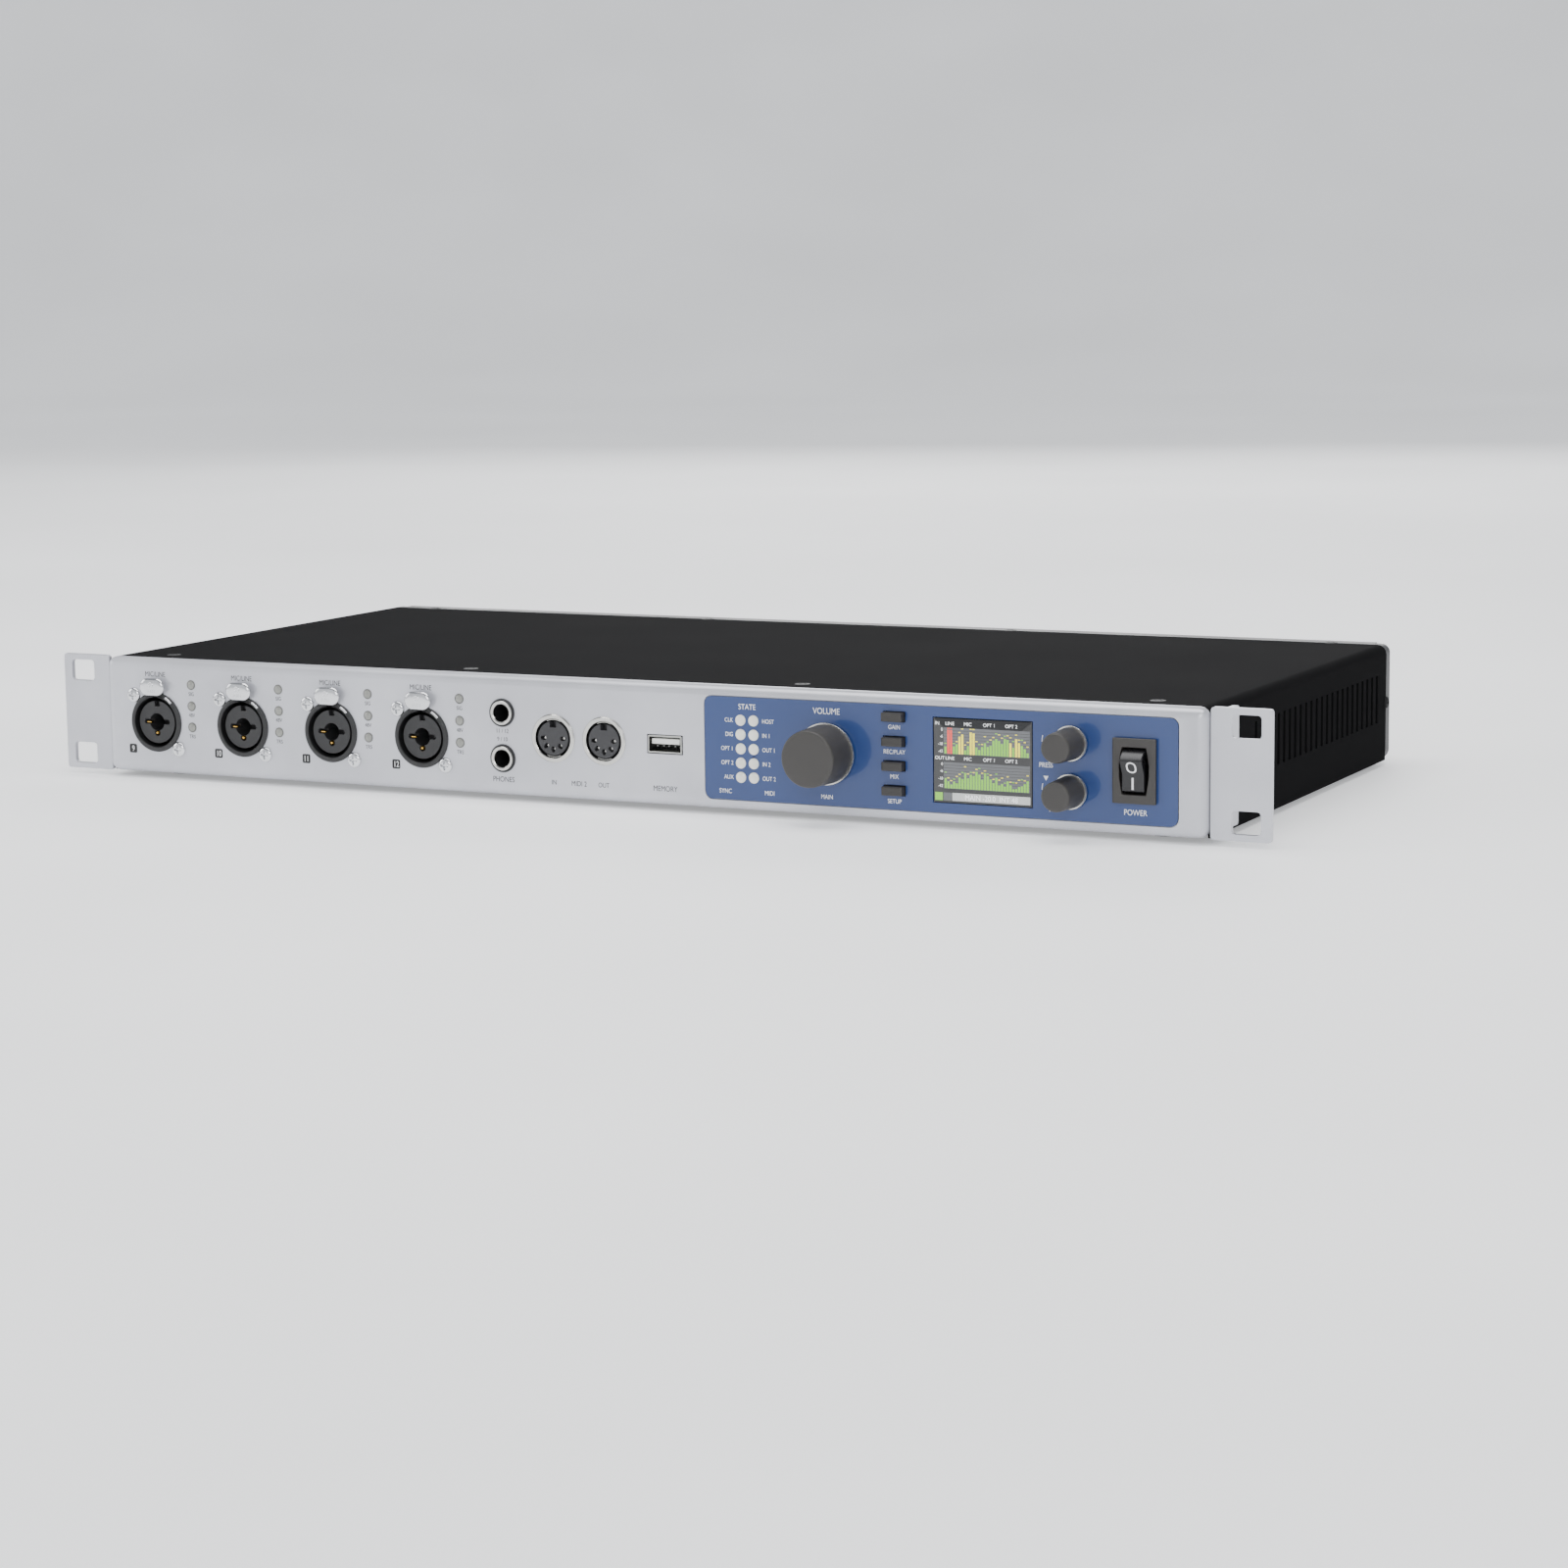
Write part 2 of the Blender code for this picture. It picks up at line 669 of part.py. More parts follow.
def make_front_panel():
    """A milled panel with a rounded front edge, pocketed from behind."""
    bm = bmesh.new()
    add_block(bm, (LEFT, -PANEL_PROUD, BOTTOM), (RIGHT, PANEL_BACK, TOP))
    ends = edges_along(bm, 1)
    face = [edge for edge in bm.edges
            if all(abs(vert.co.y + PANEL_PROUD) < GAP for vert in edge.verts)]
    round_over(bm, ends + face, EDGE_RADIUS, 4)
    panel = to_object("front_panel", bm, (0, 0, 0), "silver_paint")
    pocket = bmesh.new()
    add_block(pocket, (LEFT + PANEL_RIM, PANEL_PLATE - PANEL_PROUD, BOTTOM + PANEL_RIM),
              (RIGHT - PANEL_RIM, PANEL_BACK + OVERCUT, TOP - PANEL_RIM))
    cut(panel, to_object("front_panel_pocket", pocket, (0, 0, 0)))
    sockets = [(x, COMBO_Z, COMBO_COLLAR, 24) for x in combo_places()]
    sockets += [(LEFT + PHONES_INSET, z, PHONES_COLLAR, 14) for z in phones_heights()]
    sockets += [(x, 0.0, FRONT_MIDI_COLLAR, 20) for x in front_midi_places()]
    cut(panel, socket_openings("front_panel", FRONT, sockets, PANEL_DEPTH))
    cut(panel, latch_notches("front_panel", FRONT, combo_places(), COMBO_Z, COMBO_COLLAR))
    memory = bmesh.new()
    block_on(memory, FRONT, around(LEFT + MEMORY_INSET, MEMORY_WIDTH + 2 * GAP),
             around(0.0, MEMORY_HEIGHT + 2 * GAP), OVERCUT, -PANEL_DEPTH)
    cut(panel, to_object("front_panel_memory_hole", memory, (0, 0, 0)))
    x_range, z_range = overlay_box()
    recess = bmesh.new()
    block_on(recess, FRONT, (x_range[0] - GAP, x_range[1] + GAP), (z_range[0] - GAP, z_range[1] + GAP),
             OVERCUT, OVERLAY_PROUD - OVERLAY_SHEET - GAP)
    round_over(recess, edges_along(recess, 1), OVERLAY_RADIUS + GAP, 4)
    cut(panel, to_object("front_panel_recess", recess, (0, 0, 0)))
    for holes in control_openings("front_panel"):
        cut(panel, holes)


def make_overlay():
    """The printed blue plate that lies in the front panel's recess."""
    x_range, z_range = overlay_box()
    bm = bmesh.new()
    block_on(bm, FRONT, x_range, z_range, OVERLAY_PROUD, OVERLAY_PROUD - OVERLAY_SHEET)
    round_over(bm, edges_along(bm, 1), OVERLAY_RADIUS, 4)
    overlay = to_object("control_overlay", bm, (0, 0, 0), "blue_print")
    for holes in control_openings("control_overlay"):
        cut(overlay, holes)


def bent_sheet(name, outline, sheet, finish):
    """A sheet bent along Y from an (X, Z) outline, its thickness towards the inside."""
    front = PANEL_BACK + GAP
    bm = bmesh.new()
    corners = [bm.verts.new((x, front, z)) for x, z in outline]
    run = [bm.edges.new(pair) for pair in zip(corners, corners[1:])]
    swept = bmesh.ops.extrude_edge_only(bm, edges=run)["geom"]
    moved = [item for item in swept if isinstance(item, bmesh.types.BMVert)]
    bmesh.ops.translate(bm, vec=(0.0, RIM_FRONT - GAP - front, 0.0), verts=moved)
    obj = to_object(name, bm, (0, 0, 0), finish)
    shell = obj.modifiers.new("sheet", "SOLIDIFY")
    shell.thickness = sheet
    shell.offset = -1.0
    shell.use_even_offset = True
    return obj


def bend(centre, radius, start, sweep, steps=4):
    """Points on a bend's arc; angles in degrees, from +X towards +Z."""
    angles = [math.radians(start + sweep * step / steps) for step in range(steps + 1)]
    return [(centre[0] + radius * math.cos(angle), centre[1] + radius * math.sin(angle))
            for angle in angles]


def make_top_cover():
    """The folded lid: top and both sides, with a row of vents in each side."""
    inner_x = RIGHT - EDGE_RADIUS
    inner_z = TOP - EDGE_RADIUS
    outline = [(RIGHT, BOTTOM)]
    outline += bend((inner_x, inner_z), EDGE_RADIUS, 0, 90)
    outline += bend((-inner_x, inner_z), EDGE_RADIUS, 90, 90)
    outline.append((LEFT, BOTTOM))
    cover = bent_sheet("top_cover", outline, COVER_SHEET, "black_powder_coat")
    bm = bmesh.new()
    for index in range(VENT_COUNT):
        y = BODY_DEPTH - VENT_REAR_INSET - index * VENT_PITCH
        for side in (LEFT, RIGHT):
            add_block(bm, (side - 2 * COVER_SHEET, y - VENT_WIDTH / 2, VENT_Z - VENT_HEIGHT / 2),
                      (side + 2 * COVER_SHEET, y + VENT_WIDTH / 2, VENT_Z + VENT_HEIGHT / 2))
    cut(cover, to_object("top_cover_vents", bm, (0, 0, 0)))


def board_areas():
    """The X ranges of the main board and of the power supply's board."""
    right = RIGHT - BOARD_SIDE_INSET
    split = right - SUPPLY_WIDTH
    return (LEFT + BOARD_SIDE_INSET, split - BOARD_SPACE), (split, right)


def stud_places():
    """The tray's studs under the four corners of each board."""
    rear = BODY_DEPTH - BOARD_REAR_ROOM
    places = []
    for low, high in board_areas():
        for x in (low + BOARD_SPACE, high - BOARD_SPACE):
            for y in (BOARD_FRONT_Y + BOARD_SPACE, rear - BOARD_SPACE):
                places.append((x, y))
    return places


def make_base_tray():
    """The folded floor of the case, with pressed-in studs for the boards."""
    outer = RIGHT - COVER_SHEET - GAP
    radius = EDGE_RADIUS - COVER_SHEET
    outline = [(-outer, BOTTOM + TRAY_WALL)]
    outline += bend((-outer + radius, BOTTOM + radius), radius, 180, 90)
    outline += bend((outer - radius, BOTTOM + radius), radius, 270, 90)
    outline.append((outer, BOTTOM + TRAY_WALL))
    tray = bent_sheet("base_tray", outline, TRAY_SHEET, "black_powder_coat")
    bm = bmesh.new()
    floor = BOTTOM + TRAY_SHEET
    for x, y in stud_places():
        middle = floor + (STUD_HEIGHT - TRAY_SHEET / 2) / 2
        add_rod(bm, "Z", (x, y, middle), STUD_RADIUS, STUD_HEIGHT + TRAY_SHEET / 2, 8)
    fuse(tray, to_object("base_tray_studs", bm, (0, 0, 0)))


def make_rear_panel():
    """A shallow pan whose face lies between a thin rim and a round post at each end."""
    face_half = RIGHT - 2 * POST_RADIUS
    post_y = BODY_DEPTH + POST_PROUD - POST_RADIUS
    lip_z = TOP - REAR_RIM
    bm = bmesh.new()
    add_block(bm, (LEFT, RIM_FRONT, BOTTOM), (RIGHT, post_y, TOP))
    round_over(bm, edges_along(bm, 1), EDGE_RADIUS, 4)
    panel = to_object("rear_panel", bm, (0, 0, 0), "grey_powder_coat")
    face = bmesh.new()
    add_block(face, (-face_half - BOND, post_y - BOND, BOTTOM),
              (face_half + BOND, BODY_DEPTH + POST_PROUD, TOP))
    fuse(panel, to_object("rear_panel_face", face, (0, 0, 0)))
    posts = bmesh.new()
    for x in (LEFT + POST_RADIUS, RIGHT - POST_RADIUS):
        add_post(posts, x, post_y)
    fuse(panel, to_object("rear_panel_posts", posts, (0, 0, 0)))
    recess = bmesh.new()
    add_block(recess, (-face_half, BODY_DEPTH, -lip_z),
              (face_half, BODY_DEPTH + POST_PROUD + OVERCUT, lip_z))
    cut(panel, to_object("rear_panel_recess", recess, (0, 0, 0)))
    groove = bmesh.new()
    add_block(groove, (-face_half, BODY_DEPTH - REAR_PLATE / 2, lip_z - REAR_GROOVE),
              (face_half, BODY_DEPTH + OVERCUT, lip_z))
    cut(panel, to_object("rear_panel_groove", groove, (0, 0, 0)))
    hollow = bmesh.new()
    add_block(hollow, (LEFT + REAR_RIM, RIM_FRONT - OVERCUT, -lip_z),
              (RIGHT - REAR_RIM, BODY_DEPTH - REAR_PLATE, lip_z))
    round_over(hollow, edges_along(hollow, 1), EDGE_RADIUS - REAR_RIM, 2)
    cut(panel, to_object("rear_panel_hollow", hollow, (0, 0, 0)))
    side_hole = bmesh.new()
    side_y = (RIM_FRONT + BODY_DEPTH - REAR_PLATE) / 2
    add_rod(side_hole, "X", (0.0, side_y, 0.0), CORD_SCREW_RADIUS, BODY_WIDTH + 2 * OVERCUT, 8)
    cut(panel, to_object("rear_panel_side_holes", side_hole, (0, 0, 0)))
    for cutter in rear_cutters():
        cut(panel, cutter)


def add_post(bm, x, y):
    """Adds an upright post with ball ends: a ball whose two halves are moved apart."""
    straight = BODY_HEIGHT - 2 * POST_RADIUS
    ball = bmesh.ops.create_uvsphere(bm, u_segments=16, v_segments=9, radius=POST_RADIUS)["verts"]
    for vert in ball:
        vert.co.z += math.copysign(straight / 2, vert.co.z)
    bmesh.ops.translate(bm, vec=(x, y, 0.0), verts=ball)


def rear_cutters():
    """Everything that opens the rear panel's plate."""
    sockets = [(x, REAR_XLR_Z, REAR_XLR_COLLAR, 24) for x in male_places() + [digital_in_x()]]
    sockets += [(x, REAR_MIDI_Z, REAR_MIDI_COLLAR, 20) for x in rear_midi_places()]
    sockets += [(x, CLOCK_Z, CLOCK_BARREL, 16) for x in clock_places()]
    for inset, count in ((LINE_IN_INSET, LINE_IN_COUNT), (LINE_OUT_INSET, LINE_OUT_COUNT)):
        for x in line_places(inset, count):
            sockets += [(x, z, LINE_COLLAR, 14) for z in line_heights()]
    cutters = [socket_openings("rear_panel", REAR, sockets, 2 * REAR_PLATE)]
    cutters.append(latch_notches("rear_panel", REAR, [digital_in_x()], REAR_XLR_Z, REAR_XLR_COLLAR))
    windows = [
        (RIGHT - INLET_INSET, INLET_Z, INLET_WIDTH - 2 * INLET_LIP, INLET_HEIGHT - 2 * INLET_LIP),
        (RIGHT - HOST_INSET, HOST_Z, HOST_WIDTH, HOST_HEIGHT),
        (RIGHT - REMOTE_INSET, REMOTE_Z, REMOTE_WIDTH, REMOTE_HEIGHT),
    ]
    windows += [(x, z, width, height) for x, z, width, height in optical_housings()]
    bm = bmesh.new()
    for x, z, width, height in windows:
        block_on(bm, REAR, around(x, width + 2 * GAP), around(z, height + 2 * GAP),
                 OVERCUT, -2 * REAR_PLATE)
    cutters.append(to_object("rear_panel_windows", bm, (0, 0, 0)))
    return cutters


def make_ears():
    """An angle bracket on each side: a flange with two rack slots and a leaf along the body."""
    for name, sign in (("rack_ear_left", -1), ("rack_ear_right", 1)):
        inner = sign * (RIGHT + GAP)
        outer = sign * (RIGHT + EAR_FLANGE)
        bm = bmesh.new()
        add_block(bm, (min(inner, outer), 0.0, -EAR_HEIGHT / 2),
                  (max(inner, outer), EAR_SHEET, EAR_HEIGHT / 2))
        round_over(bm, edges_along(bm, 1), EAR_CORNER, 2)
        ear = to_object(name, bm, (0, 0, 0), "silver_paint")
        leaf = bmesh.new()
        leaf_outer = inner + sign * EAR_SHEET
        add_block(leaf, (min(inner, leaf_outer), GAP, -EAR_LEAF_HEIGHT / 2),
                  (max(inner, leaf_outer), EAR_LEAF, EAR_LEAF_HEIGHT / 2))
        round_over(leaf, edges_along(leaf, 0), EAR_CORNER, 2)
        fuse(ear, to_object(name + "_leaf", leaf, (0, 0, 0)))
        slots = bmesh.new()
        slot_x = outer - sign * RACK_HOLE_INSET
        for z in (-RACK_HOLE_SPACING / 2, RACK_HOLE_SPACING / 2):
            add_block(slots, (slot_x - RACK_HOLE_WIDTH / 2, -OVERCUT, z - RACK_HOLE_HEIGHT / 2),
                      (slot_x + RACK_HOLE_WIDTH / 2, EAR_SHEET + OVERCUT, z + RACK_HOLE_HEIGHT / 2))
        round_over(slots, edges_along(slots, 1), RACK_HOLE_CORNER, 2)
        cut(ear, to_object(name + "_slots", slots, (0, 0, 0)))
        screws = bmesh.new()
        for z in (-EAR_SCREW_SPACING / 2, EAR_SCREW_SPACING / 2):
            add_rod(screws, "X", (inner, EAR_SCREW_Y, z), EAR_SCREW_RADIUS, 4 * EAR_SHEET, 12)
        cut(ear, to_object(name + "_screw_holes", screws, (0, 0, 0)))


def make_feet():
    """Four rubber discs under the corners of the body."""
    rows = (("front", FOOT_END_INSET), ("rear", BODY_DEPTH - FOOT_END_INSET))
    for row, y in rows:
        for hand, sign in (("left", -1), ("right", 1)):
            bm = bmesh.new()
            height = FOOT_LIFT - GAP
            centre = (sign * (RIGHT - FOOT_SIDE_INSET), y, BOTTOM - GAP - height / 2)
            add_rod(bm, "Z", centre, 0.94 * FOOT_RADIUS, height, 20, end_radius=FOOT_RADIUS)
            to_object(f"foot_{row}_{hand}", bm, centre, "rubber")


# ---- Latched sockets -----------------------------------------------------------------------------------
def make_female(name, side, x, z, collar, proud, body_half, body_depth, bore):
    """A latched socket: body behind the panel, round collar, insert and the groove round it."""
    neck, tab = latch_spot(collar)
    body_top = z + neck + LATCH_NECK / 2 + LATCH_CLEARANCE + BOND
    bm = bmesh.new()
    block_on(bm, side, (x - body_half, x + body_half), (z - collar - 2 * BOND, body_top),
             behind(side), -body_depth)
    socket = to_object(name, bm, (x, side.face, z), "black_plastic")
    ring = bmesh.new()
    rod_on(ring, side, x, z, collar, proud, behind(side) - BOND, 24)
    fuse(socket, to_object(name + "_collar", ring, (x, side.face, z)))
    cut(socket, ring_cutter(name + "_groove", side, x, z, INSERT_RADIUS, GROOVE_RADIUS,
                            proud + OVERCUT, -GROOVE_DEPTH, 24))
    pocket = bmesh.new()
    block_on(pocket, side, around(x, LATCH_NECK_WIDTH + 2 * LATCH_CLEARANCE),
             (z + neck - LATCH_NECK / 2 - LATCH_CLEARANCE, body_top - BOND),
             OVERCUT, -LATCH_NECK_END - LATCH_TRAVEL - GAP)
    cut(socket, to_object(name + "_latch_pocket", pocket, (x, side.face, z)))
    relief = bmesh.new()
    block_on(relief, side, around(x, LATCH_WIDTH + 2 * GAP), (z + tab - LATCH_HEIGHT / 2 - GAP, body_top),
             proud + OVERCUT, LATCH_REACH - LATCH_TRAVEL - GAP)
    cut(socket, to_object(name + "_tab_relief", relief, (x, side.face, z)))
    if bore:
        hole = bmesh.new()
        rod_on(hole, side, x, z, PHONE_BORE, proud + OVERCUT, -PHONE_BORE_DEPTH, 16)
        cut(socket, to_object(name + "_bore", hole, (x, side.face, z)))


def make_latch(name, side, x, z, collar):
    """The tab above a latched socket, which slides inwards on its neck."""
    neck, tab = latch_spot(collar)
    origin = (x, side.face, z + neck)
    bm = bmesh.new()
    block_on(bm, side, around(x, LATCH_WIDTH), around(z + tab, LATCH_HEIGHT),
             LATCH_REACH, LATCH_REACH + LATCH_SHEET)
    round_over(bm, edges_along(bm, 1), LATCH_HEIGHT / 3, 3)
    latch = to_object(name, bm, origin, "chrome")
    arm = bmesh.new()
    block_on(arm, side, around(x, LATCH_NECK_WIDTH), around(z + neck, LATCH_NECK),
             LATCH_REACH + LATCH_SHEET / 2, -LATCH_NECK_END)
    fuse(latch, to_object(name + "_neck", arm, origin))


def make_combos():
    for index, x in enumerate(combo_places(), start=1):
        make_female(f"combo_socket_{index}", FRONT, x, COMBO_Z, COMBO_COLLAR, COMBO_PROUD,
                    COMBO_BODY_HALF, COMBO_BODY_DEPTH, bore=True)
        make_latch(f"combo_latch_{index}", FRONT, x, COMBO_Z, COMBO_COLLAR)


def make_digital_in():
    make_female("digital_in_socket", REAR, digital_in_x(), REAR_XLR_Z, REAR_XLR_COLLAR,
                REAR_XLR_PROUD, XLR_BODY_HALF, XLR_BODY_DEPTH, bore=False)
    make_latch("digital_in_latch", REAR, digital_in_x(), REAR_XLR_Z, REAR_XLR_COLLAR)


def make_male_outputs():
    """Three-pin outputs: a round well with three round pins standing in it."""
    names = ("digital_out_socket", "main_out_socket_1", "main_out_socket_2")
    for name, x in zip(names, male_places()):
        origin = (x, REAR.face, REAR_XLR_Z)
        half = XLR_BODY_HALF - GAP
        bm = bmesh.new()
        block_on(bm, REAR, (x - half, x + half), (REAR_XLR_Z - half, REAR_XLR_Z + half),
                 behind(REAR), -XLR_BODY_DEPTH)
        socket = to_object(name, bm, origin, "black_plastic")
        ring = bmesh.new()
        rod_on(ring, REAR, x, REAR_XLR_Z, REAR_XLR_COLLAR, REAR_XLR_PROUD, behind(REAR) - BOND, 24)
        fuse(socket, to_object(name + "_collar", ring, origin))
        well = bmesh.new()
        rod_on(well, REAR, x, REAR_XLR_Z, XLR_CAVITY, REAR_XLR_PROUD + OVERCUT, -XLR_CAVITY_DEPTH, 20)
        cut(socket, to_object(name + "_well", well, origin))
        pins = bmesh.new()
        for side_x, side_z in ((-1, 0), (1, 0), (0, -1)):
            rod_on(pins, REAR, x + side_x * XLR_PIN_CIRCLE, REAR_XLR_Z + side_z * XLR_PIN_CIRCLE,
                   XLR_PIN, -XLR_PIN_RECESS, -XLR_CAVITY_DEPTH - BOND, 8)
        fuse(socket, to_object(name + "_pins", pins, origin))


# ---- Round sockets ---------------------------------------------------------------------------------------
def make_jack_block(name, side, places, collar, finish):
    """A gang of quarter-inch jacks on one body; each place is (X, Z)."""
    low_x = min(x for x, _ in places) - JACK_BODY_HALF
    high_x = max(x for x, _ in places) + JACK_BODY_HALF
    low_z = min(z for _, z in places) - JACK_BODY_HALF
    high_z = max(z for _, z in places) + JACK_BODY_HALF
    origin = (low_x, side.face, low_z)
    bm = bmesh.new()
    block_on(bm, side, (low_x, high_x), (low_z, high_z), behind(side), -JACK_BODY_DEPTH)
    block = to_object(name, bm, origin, finish)
    rings = bmesh.new()
    bores = bmesh.new()
    for x, z in places:
        rod_on(rings, side, x, z, collar, JACK_PROUD, behind(side) - BOND, 14)
        rod_on(bores, side, x, z, PHONE_BORE, JACK_PROUD + OVERCUT, -PHONE_BORE_DEPTH + BOND, 12)
    fuse(block, to_object(name + "_collars", rings, origin))
    cut(block, to_object(name + "_bores", bores, origin))


def make_jacks():
    phones = [(LEFT + PHONES_INSET, z) for z in phones_heights()]
    make_jack_block("headphone_jacks", FRONT, phones, PHONES_COLLAR, "black_plastic")
    for name, inset, count in (("line_input_jacks", LINE_IN_INSET, LINE_IN_COUNT),
                               ("line_output_jacks", LINE_OUT_INSET, LINE_OUT_COUNT)):
        places = [(x, z) for x in line_places(inset, count) for z in line_heights()]
        make_jack_block(name, REAR, places, LINE_COLLAR, "black_plastic")


def make_midi_sockets():
    """Round five-pole sockets with a groove for the plug's shell."""
    wanted = [(f"front_midi_socket_{index}", FRONT, x, 0.0, FRONT_MIDI_COLLAR)
              for index, x in enumerate(front_midi_places(), start=1)]
    wanted += [(f"rear_midi_socket_{index}", REAR, x, REAR_MIDI_Z, REAR_MIDI_COLLAR)
               for index, x in enumerate(rear_midi_places(), start=1)]
    for name, side, x, z, collar in wanted:
        origin = (x, side.face, z)
        bm = bmesh.new()
        block_on(bm, side, (x - MIDI_BODY_HALF, x + MIDI_BODY_HALF),
                 (z - MIDI_BODY_HALF, z + MIDI_BODY_HALF), behind(side), -MIDI_BODY_DEPTH)
        socket = to_object(name, bm, origin, "black_plastic")
        ring = bmesh.new()
        rod_on(ring, side, x, z, collar, MIDI_PROUD, behind(side) - BOND, 20)
        fuse(socket, to_object(name + "_collar", ring, origin))
        cut(socket, ring_cutter(name + "_groove", side, x, z, MIDI_GROOVE_INNER, MIDI_GROOVE_OUTER,
                                MIDI_PROUD + OVERCUT, -MIDI_GROOVE_DEPTH, 20))


def make_clock_sockets():
    """Bayonet coaxial sockets: body, washer, hexagon nut, barrel, core and two lugs."""
    for index, x in enumerate(clock_places(), start=1):
        name = f"clock_socket_{index}"
        mouth = BODY_DEPTH + CLOCK_REACH
        floor = mouth - CLOCK_BORE_DEPTH
        washer_back = BODY_DEPTH + GAP
        washer_face = washer_back + CLOCK_WASHER_SHEET
        profile = [
            (0.0, mouth - CLOCK_PIN_RECESS), (CLOCK_PIN, mouth - CLOCK_PIN_RECESS),
            (CLOCK_PIN, mouth - CLOCK_CORE_RECESS), (CLOCK_CORE, mouth - CLOCK_CORE_RECESS),
            (CLOCK_CORE, floor), (CLOCK_BORE, floor), (CLOCK_BORE, mouth), (CLOCK_BARREL, mouth),
            (CLOCK_BARREL, washer_face), (CLOCK_WASHER, washer_face), (CLOCK_WASHER, washer_back),
            (CLOCK_BARREL, washer_back), (CLOCK_BARREL, BODY_DEPTH - CLOCK_BODY_DEPTH),
            (0.0, BODY_DEPTH - CLOCK_BODY_DEPTH),
        ]
        socket = turned(name, profile, 20, (x, 0.0, CLOCK_Z), "zinc_plate")
        nut = bmesh.new()
        nut_far = GAP + CLOCK_WASHER_SHEET + CLOCK_NUT_DEPTH
        rod_on(nut, REAR, x, CLOCK_Z, CLOCK_NUT, GAP + CLOCK_WASHER_SHEET / 2, nut_far, 6)
        fuse(socket, to_object(name + "_nut", nut, (x, 0.0, CLOCK_Z)))
        lugs = bmesh.new()
        lug_length = CLOCK_LUG_REACH - (CLOCK_BARREL + CLOCK_BORE) / 2
        for sign in (-1, 1):
            centre = (x, mouth - CLOCK_LUG_BACK, CLOCK_Z + sign * (CLOCK_LUG_REACH - lug_length / 2))
            add_rod(lugs, "Z", centre, CLOCK_LUG, lug_length, 8)
        fuse(socket, to_object(name + "_lugs", lugs, (x, 0.0, CLOCK_Z)))


# ---- Square ports ------------------------------------------------------------------------------------------
def make_port(name, side, x, z, width, height, wall, tongue_size, chamfer=0.0):
    """A metal-shelled data port: a box with a cavity and a contact tongue in it."""
    origin = (x, side.face, z)
    bm = bmesh.new()
    block_on(bm, side, around(x, width), around(z, height), PORT_PROUD, -PORT_BODY_DEPTH)
    port = to_object(name, bm, origin, "zinc_plate")
    cavity = bmesh.new()
    block_on(cavity, side, around(x, width - 2 * wall), around(z, height - 2 * wall),
             PORT_PROUD + OVERCUT, -PORT_CAVITY_DEPTH)
    if chamfer:
        top_edges = [edge for edge in edges_along(cavity, 1) if edge.verts[0].co.z > z]
        round_over(cavity, top_edges, chamfer, 1)
    cut(port, to_object(name + "_cavity", cavity, origin))
    tongue = bmesh.new()
    tongue_width, tongue_height, shift_x, shift_z = tongue_size
    block_on(tongue, side, around(x + shift_x, tongue_width), around(z + shift_z, tongue_height),
             -2 * BOND, -PORT_CAVITY_DEPTH - BOND)
    fuse(port, to_object(name + "_tongue", tongue, origin))


def make_ports():
    shift = (MEMORY_HEIGHT / 2 - PORT_WALL) / 3
    make_port("memory_port", FRONT, LEFT + MEMORY_INSET, 0.0, MEMORY_WIDTH, MEMORY_HEIGHT, PORT_WALL,
              (MEMORY_WIDTH - 4 * PORT_WALL, TONGUE, 0.0, shift))
    make_port("host_port", REAR, RIGHT - HOST_INSET, HOST_Z, HOST_WIDTH, HOST_HEIGHT, HOST_WALL,
              (HOST_WIDTH / 2, HOST_HEIGHT / 4, 0.0, 0.0), chamfer=HOST_CHAMFER)
    make_port("remote_port", REAR, RIGHT - REMOTE_INSET, REMOTE_Z, REMOTE_WIDTH, REMOTE_HEIGHT,
              PORT_WALL, (TONGUE, REMOTE_HEIGHT - 4 * PORT_WALL, shift, 0.0))


def make_mains_inlet():
    """The mains inlet: a flange on the panel, a deep well with chamfered top corners, three blades."""
    x = RIGHT - INLET_INSET
    origin = (x, REAR.face, INLET_Z)
    bm = bmesh.new()
    block_on(bm, REAR, around(x, INLET_WIDTH), around(INLET_Z, INLET_HEIGHT), GAP, GAP + INLET_PROUD)
    inlet = to_object("mains_inlet", bm, origin, "black_plastic")
    neck = bmesh.new()
    block_on(neck, REAR, around(x, INLET_WIDTH - 2 * INLET_LIP),
             around(INLET_Z, INLET_HEIGHT - 2 * INLET_LIP), GAP + INLET_PROUD / 2, -INLET_BODY_DEPTH)
    fuse(inlet, to_object("mains_inlet_neck", neck, origin))
    well = bmesh.new()
    block_on(well, REAR, around(x, INLET_CAVITY_WIDTH), around(INLET_Z, INLET_CAVITY_HEIGHT),
             GAP + INLET_PROUD + OVERCUT, -INLET_CAVITY_DEPTH)
    top_edges = [edge for edge in edges_along(well, 1) if edge.verts[0].co.z > INLET_Z]
    round_over(well, top_edges, INLET_CHAMFER, 1)
    cut(inlet, to_object("mains_inlet_well", well, origin))
    blades = bmesh.new()
    for step_x, step_z in ((-0.5, -1), (0.5, -1), (0.0, 1)):
        middle_x = x + step_x * INLET_PIN_SPACING
        middle_z = INLET_Z + step_z * INLET_PIN_RISE
        block_on(blades, REAR, around(middle_x, INLET_PIN_WIDTH), around(middle_z, INLET_PIN_HEIGHT),
                 -INLET_PIN_RECESS, -INLET_CAVITY_DEPTH - BOND)
    fuse(inlet, to_object("mains_inlet_blades", blades, origin))


